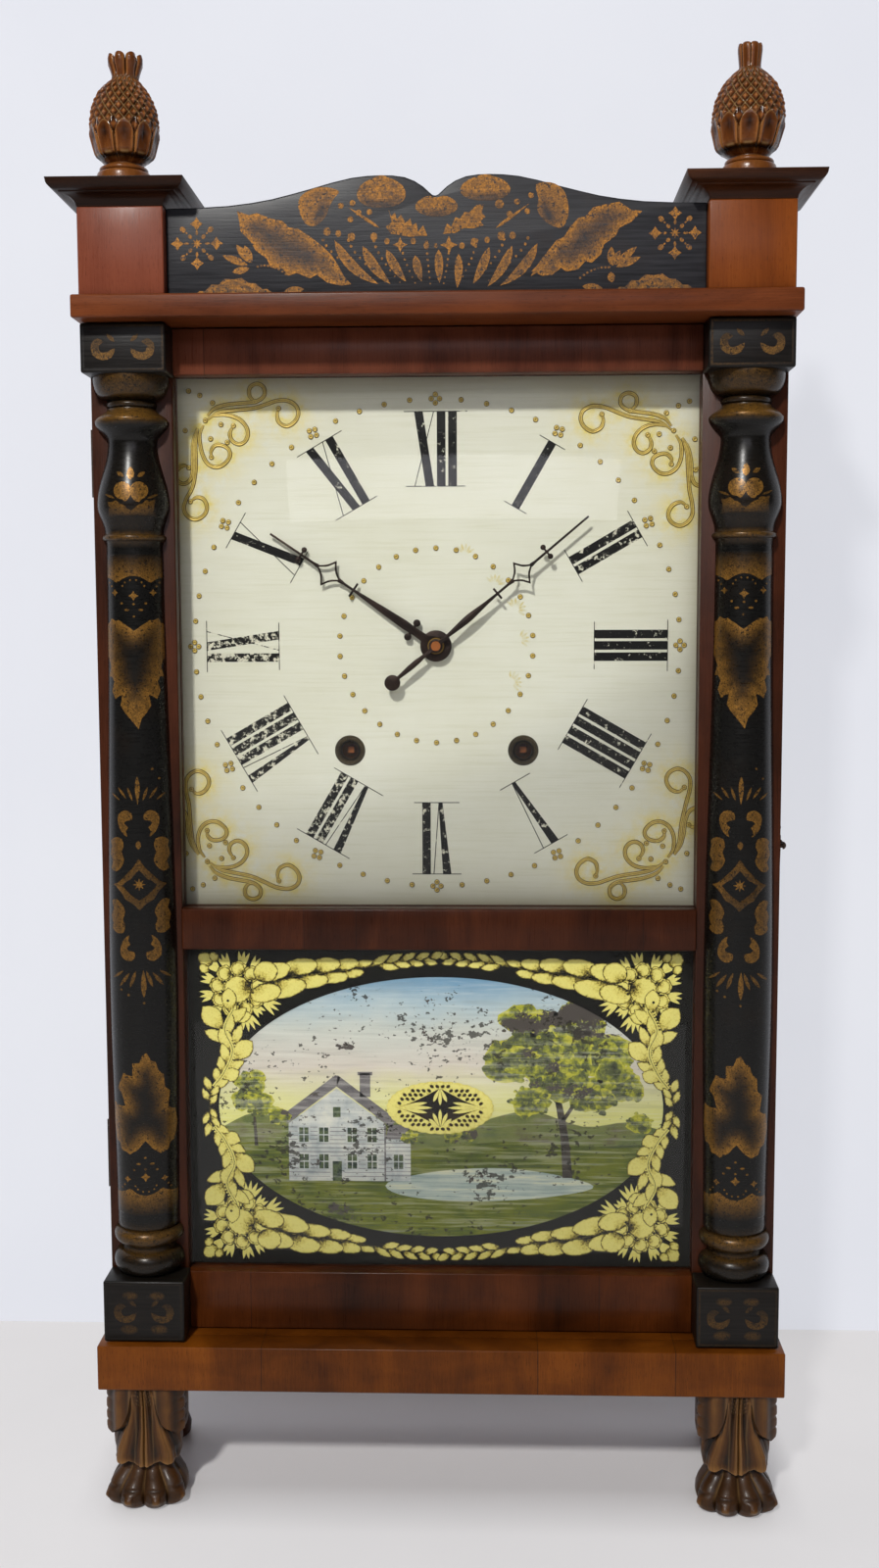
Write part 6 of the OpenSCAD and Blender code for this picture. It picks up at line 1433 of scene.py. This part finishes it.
for sx, sy in CORNERS:
    def here(x, y):
        return sx * x, sy * y

    def put(loop, dark_from=None, step=1.5):
        leaf_shape([here(*p) for p in loop], step, here(*dark_from) if dark_from else None)

    fx, fy = FLOWER
    for turn, reach, count, size in FLOWER_SPRAYS:
        for i in range(count):
            lean = turn + (i - (count - 1) / 2) * 0.32
            put(petal(*polar(fx, fy, reach - 3, turn), 1.25 * size, 2.6, lean, 8, 0.45), None, None)
    for (x, y), wide, tall, dark in (((20.5, 19.5), 5.4, 4.6, (16, 15)), ((15.0, 21.0), 3.6, 3.0, (12, 18)),
                                     ((21.5, 13.5), 3.6, 3.0, (18, 11))):
        put(ellipse(fx + x, fy + y, wide, tall, 0.78), (fx + dark[0], fy + dark[1]))
    for i in range(9):
        turn = TAU * i / 9 + 0.2
        x, y = polar(fx, fy, 13.2, turn)
        put(wavy(x, y, 5.6, 0.35, 7, 28))
        put(dot(x, y, 4.3, 16), polar(x, y, -4.0, turn - 0.8), 1.0)
    put(wavy(fx, fy, 8.8, 0.3, 18, 54), (fx - 7, fy + 2), 1.3)
    for i in range(9):
        turn = TAU * (i + 0.5) / 9 + 0.2
        gilding.shape([here(*p) for p in dot(*polar(fx, fy, 9.9, turn), 0.9, 8)], None, 0.0, 0.03)
    # Garland along the long side: round leaves that dwindle to slender ones at the middle.
    stem = curve([(fx - 13, fy + 3), (fx - 40, fy + 9), (fx - 72, fy + 13), (fx - 100, fy + 18), (4, fy + 20.5)])
    for share, hand, wide, tall in ROUND_LEAVES[::-1]:
        (x, y), turn = along(stem, share)
        put(shell(x, y, turn if hand < 0 else turn + math.pi, 1.25 * wide, 1.05 * tall), (x + 6, y))
    for i in range(9):
        share = 0.64 + 0.042 * i
        (x, y), turn = along(stem, share)
        hand = 1 if i % 2 else -1
        put(petal(x, y, 15 - 0.6 * i, 5.2, turn + hand * 0.34, 9, 0.5), (x, y), 1.1)
    stem_line([here(*p) for p in stem[:int(len(stem) * 0.7)]], 0.55, 0.12)
    # The short side: a waving stem with beads, round leaves outside it and slender ones inside.
    stem = curve([(fx + 3, fy - 13), (fx + 9, fy - 26), (fx + 4, fy - 40), (fx + 10, fy - 55), (fx + 18, fy - 66),
                  (fx + 20, fy - 78)])
    for share, hand, size, wide, lean in SIDE_LEAVES:
        (x, y), turn = along(stem, share)
        put(petal(x, y, 1.2 * size, 1.35 * wide, turn + math.pi + hand * lean, 9, 0.6 if wide > 6 else 0.5), (x, y),
            1.2)
    wave = [here(*p) for p in stem[:int(len(stem) * 0.8)]]
    stem_line(wave, 2.4, 0.85)
    stem_line(wave, 0.45, 0.1, 1.9)


# Peephole: a pierced border round a clear opening, with four sprays that point inwards.
OPENING_HALF, PEEP_HALF = (28.5, 13.0), (33.5, 16.6)


def opening_top(x):
    """Half the height of the four-pointed opening at x."""
    return OPENING_HALF[1] * max(0, 1 - abs(x) / OPENING_HALF[0]) ** 1.3


across = np.linspace(-OPENING_HALF[0], OPENING_HALF[0], 39)
opening = [(x, opening_top(x)) for x in across] + [(x, -opening_top(x)) for x in across[-2:0:-1]]
scallops = [(a, 0.55 * abs(math.sin(17 * a))) for a in ring(136)]
border = [((34 + out) * math.cos(a), (17 + out) * math.sin(a)) for a, out in scallops]
holes = []
for row in range(-5, 6):
    for i in range(-9, 10):
        x, y = 3.5 * (i + 0.5 * (row % 2)), 2.8 * row
        if abs(y) > opening_top(x) + 1.6 and math.hypot(x / 31.0, y / 15.2) < 0.96:
            holes.append(ellipse(x, y, 1.45, 1.05, math.copysign(0.6, x * y), 8))
gilding.shape([border, opening] + holes, 1.6, lambda x, y, depth: 0.98 - 0.25 * np.exp(-(depth / 0.3) ** 2), 0.04)
for x, y, aim, count, size in ((-28, 0, 0, 3, 23), (28, 0, math.pi, 3, 23), (0, 13.5, -math.pi / 2, 3, 12),
                               (0, -13.8, math.pi / 2, 5, 13)):
    for i in range(count):
        off = i - (count - 1) / 2
        lean = aim + off * (0.17 if x else 0.42)
        gilding.shape(petal(x, y, size * (1 - 0.12 * abs(off)), 2.3, lean, 8, 0.65), None, 0.92, 0.035)
gilding.make("tablet_gilding", on_tablet, gold_leaf, "door", "reverse_painted_glass")

oval = ellipse(0, 0, *SCENE_HALF, 0, 120)
peep = ellipse(0, 0, *PEEP_HALF, 0, 60)
edge = rectangle(2, 1, *VIEW_HALF)


def layer(name, loops, material, lift):
    """Flat paint at one depth behind the glass."""
    art = Stencil()
    for loop in loops:
        art.shape(loop, None, 0.0, lift)
    art.make(name, on_tablet, material, "door", "reverse_painted_glass")


def rim_height(x, half):
    """How far an oval of those half sizes reaches up and down at x."""
    return half[1] * math.sqrt(max(0, 1 - (x / half[0]) ** 2))


def ground(tops):
    """A stretch of land from its skyline down to the rim of the oval."""
    skyline = curve(tops, False, 4)
    return skyline + [(x, -rim_height(x, SCENE_HALF) - 1.5) for x in np.linspace(skyline[-1][0], skyline[0][0], 40)]


def below_peephole(loop):
    """The loop with its upper edge led under the peephole."""
    return [(x, min(y, -rim_height(x, PEEP_HALF)) if abs(x) < PEEP_HALF[0] else y) for x, y in loop]


layer("tablet_ground", [[edge, oval]], glass_black, 0.34)
layer("scene_sky", [[[(x * 1.01, y * 1.015) for x, y in oval], peep]], sky, 0.62)
hills = ground([(-141.5, -14), (-120, -4), (-98, -8), (-70, 3), (-42, -6), (-10, -13), (24, -9), (58, -2), (92, -12),
                (120, -9), (141.5, -14)])
layer("scene_hills", [below_peephole(hills)], hill_paint, 0.58)
fields = ground([(-140.5, -23), (-110, -24), (-60, -30), (0, -26), (50, -22), (100, -25), (140.5, -23)])
layer("scene_fields", [fields], field_paint, 0.54)
pond = curve([(-34, -50), (0, -42), (44, -40), (84, -46), (98, -53), (60, -60), (10, -62), (-26, -58)], True, 4)
layer("scene_water", [pond], water_paint, 0.52)
near_field = ground([(-128, -46), (-92, -53), (-40, -60), (10, -69), (60, -66), (100, -59), (121, -52)])
layer("scene_near_field", [near_field], field_paint, 0.50)


def blob(x, y, size, seed, tall=0.8):
    """A ragged clump of leaves."""
    draw = np.random.default_rng(seed)
    turns = ring(26)
    r = size * (1 + 0.10 * np.sin(3 * turns + draw.uniform(0, 6)) + 0.09 * draw.uniform(-1, 1, len(turns)))
    return [(x + q * math.cos(a), y + tall * q * math.sin(a)) for q, a in zip(r, turns)]


trees = Stencil()
clumps = ((66, 44, 22), (88, 56, 17), (44, 30, 17), (104, 36, 19), (76, 22, 20), (52, 58, 13), (118, 14, 13),
          (98, 8, 14), (58, 4, 12), (-122, 16, 10), (-116, 2, 9), (-127, 4, 8), (-104, -6, 7), (18, -17, 6),
          (8, -19, 5), (128, -10, 8), (-20, -20, 5), (84, 34, 15), (64, 28, 12), (110, 24, 11))
for i, (x, y, size) in enumerate(clumps):
    trees.shape(blob(x, y, size, i), 2.0, lambda _x, _y, depth: np.exp(-depth / 2.2), 0.44 - 0.003 * i)
draw = np.random.default_rng(7)
for i, (x, y, size) in enumerate(clumps):
    for j in range(int(2.2 * size)):
        turn, out = draw.uniform(0, TAU), size * draw.uniform(0.2, 1.08)
        bright = unit(0.35 + 0.5 * math.cos(turn - 0.9) * out / size + draw.uniform(-0.3, 0.4))
        trees.shape(blob(x + out * math.cos(turn), y + 0.85 * out * math.sin(turn),
                         draw.uniform(1.3, 0.14 * size + 1.2), 100 + 40 * i + j, 0.75), None, bright,
                    0.385 - 0.0001 * j)
trees.make("scene_trees", on_tablet, foliage, "door", "reverse_painted_glass")
trunks = Stencil()
for line, wide in ((curve([(82, -46), (80, -20), (76, 4), (70, 30)]), 6.5),
                   (curve([(79, -8), (90, 10), (98, 34)]), 3.2), (curve([(77, 2), (62, 16), (50, 26)]), 2.8),
                   (curve([(-119, -26), (-120, -8), (-121, 10)]), 2.4)):
    line = np.asarray(line)
    half = np.linspace(1.0, 0.45, len(line))[:, None] * wide / 2 * (1, 0)
    trunks.shape([tuple(p) for p in line + half] + [tuple(p) for p in (line - half)[::-1]], None, 0, 0.455)
trunks.make("scene_trunks", on_tablet, bark, "door", "reverse_painted_glass")


# A boarded farmhouse with a lower wing: drawn small from its corner, then grown from the corner's place.
HOUSE_GROWS, HOUSE_CORNER, HOUSE_AT = 1.36, (-96, -44), (-98, -49)


def house(loops):
    return [[tuple(at + HOUSE_GROWS * (v - corner) for v, corner, at in zip(p, HOUSE_CORNER, HOUSE_AT)) for p in loop]
            for loop in loops]


def upright(x, y, wide, tall):
    """A rectangle from its lower left corner."""
    return [(x, y), (x + wide, y), (x + wide, y + tall), (x, y + tall)]


layer("farm_walls", house([[(-96, -44), (-50, -44), (-50, -16), (-73, 1), (-96, -16)], upright(-50, -44, 12, 21)]),
      wall_white, 0.46)
layer("farm_boards", house([upright(-96, -42 + 2 * i, 46, 0.28) for i in range(13)]
                           + [upright(-50, -41.5 + 2 * i, 12, 0.28) for i in range(9)]
                           + [upright(-50.5, -44, 0.8, 27)]), roof_grey, 0.45)
layer("farm_roofs", house([[(-99, -18), (-73, 2), (-71, 6.5), (-73.5, 7.5), (-101, -13.6)],
                           [(-73, 2), (-47, -18), (-45, -13.6), (-72.5, 7.5)],
                           [(-50, -23.5), (-36, -23.5), (-38, -16.5), (-48, -16.5)], upright(-62, -3, 5, 11.5),
                           upright(-63, 7.5, 7, 1.6)]), roof_grey, 0.43)
panes = [(x, y) for x in (-91, -81.5, -68, -58.5) for y in (-25, -38)] + [(-46, -38)]
layer("farm_frames", house([upright(x - 0.8, y - 0.8, 6, 8.6) for x, y in panes] + [upright(-76.4, -44, 6.8, 11.4)]),
      wall_white, 0.425)
layer("farm_windows", house([upright(x + a, y + b, 2, 3.2) for x, y in panes for a in (0, 2.4) for b in (0, 3.8)]
                            + [upright(-75.2, -44, 4.4, 9.6), upright(-74.8, -13, 3.6, 5)]), window_dark, 0.42)


# Stage and light.
def stage_plane(name, corners, material):
    mesh = mesh_from(name, corners, [(0, 1, 2, 3)])
    mesh.materials.append(material)
    placed(name, mesh)


# Where the glow fades: out from the middle, from front to back and up from the floor, in metres.
CASE_SHADOW_X, CASE_SHADOW_Y, CASE_SHADOW_Z = (0.20, 0.235), (-0.075, -0.02), (0.02, 0.05)


def plain(name, first, second, gloss, glow):
    """Pale paper, which the camera and reflections see brighter and more even than the lamps leave it.

    The glow fades under the case, where the floor keeps its shadow. From behind the paper is clear."""
    g = Graph(name)
    colour = g.mix(g.span(g.noise(3, 4), 0.35, 0.65), rgb(*first), rgb(*second))
    paper = g.principled(Base_Color=colour, Roughness=gloss, Normal=g.bump(g.noise(500, 3), 0.02))
    seen = g.read("LightPath", output="Is Camera Ray")
    for ray in ("Is Glossy Ray", "Is Transmission Ray"):
        seen = g.math("MAXIMUM", seen, g.read("LightPath", output=ray))
    under = (g.span(g.math("ABSOLUTE", g.axis(0)), *CASE_SHADOW_X, 1, 0) * g.span(g.axis(1), *CASE_SHADOW_Y)
             * g.span(g.axis(2), *CASE_SHADOW_Z, 1, 0))
    lit = g.read("MixShader", {0: seen * ((1.0 - under) * glow), 1: paper, 2: g.read("Emission", {"Color": colour})})
    back = g.read("NewGeometry", output="Backfacing")
    return g.show(g.read("MixShader", {0: back, 1: lit, 2: g.read("BsdfTransparent")}))


WALL_Y, REACH = 222.0, 4000.0
stage_plane("floor", [(-REACH, -REACH, 0), (REACH, -REACH, 0), (REACH, REACH, 0), (-REACH, REACH, 0)],
            plain("floor_paper", (233, 231, 232), (228, 226, 227), 0.45, 0.70))
stage_plane("wall", [(-REACH, WALL_Y, 0), (REACH, WALL_Y, 0), (REACH, WALL_Y, REACH), (-REACH, WALL_Y, REACH)],
            plain("wall_paper", (234, 236, 243), (230, 232, 240), 0.8, 0.78))


LIT_AT = (0, 0, 480)


def area_light(name, at, size, watts, colour):
    data = bpy.data.lights.new(name, "AREA")
    data.shape = "RECTANGLE"
    data.size, data.size_y = (s * MM for s in size)
    data.energy = watts
    data.color = colour
    light = placed(name, data)
    light.location = Vector(at) * MM
    light.rotation_euler = (Vector(LIT_AT) - Vector(at)).to_track_quat("-Z", "Y").to_euler()


area_light("key", (-650, -2400, 2300), (210, 190), 68, (1.0, 0.985, 0.95))
area_light("window", (0, -3000, 1560), (2300, 420), 11, (0.92, 0.91, 1.0))
world = bpy.data.worlds.new("studio")
world.use_nodes = True
sky_light = world.node_tree.nodes["Background"].inputs
sky_light["Color"].default_value = (0.86, 0.90, 1.0, 1)
sky_light["Strength"].default_value = 0.10
bpy.context.scene.world = world
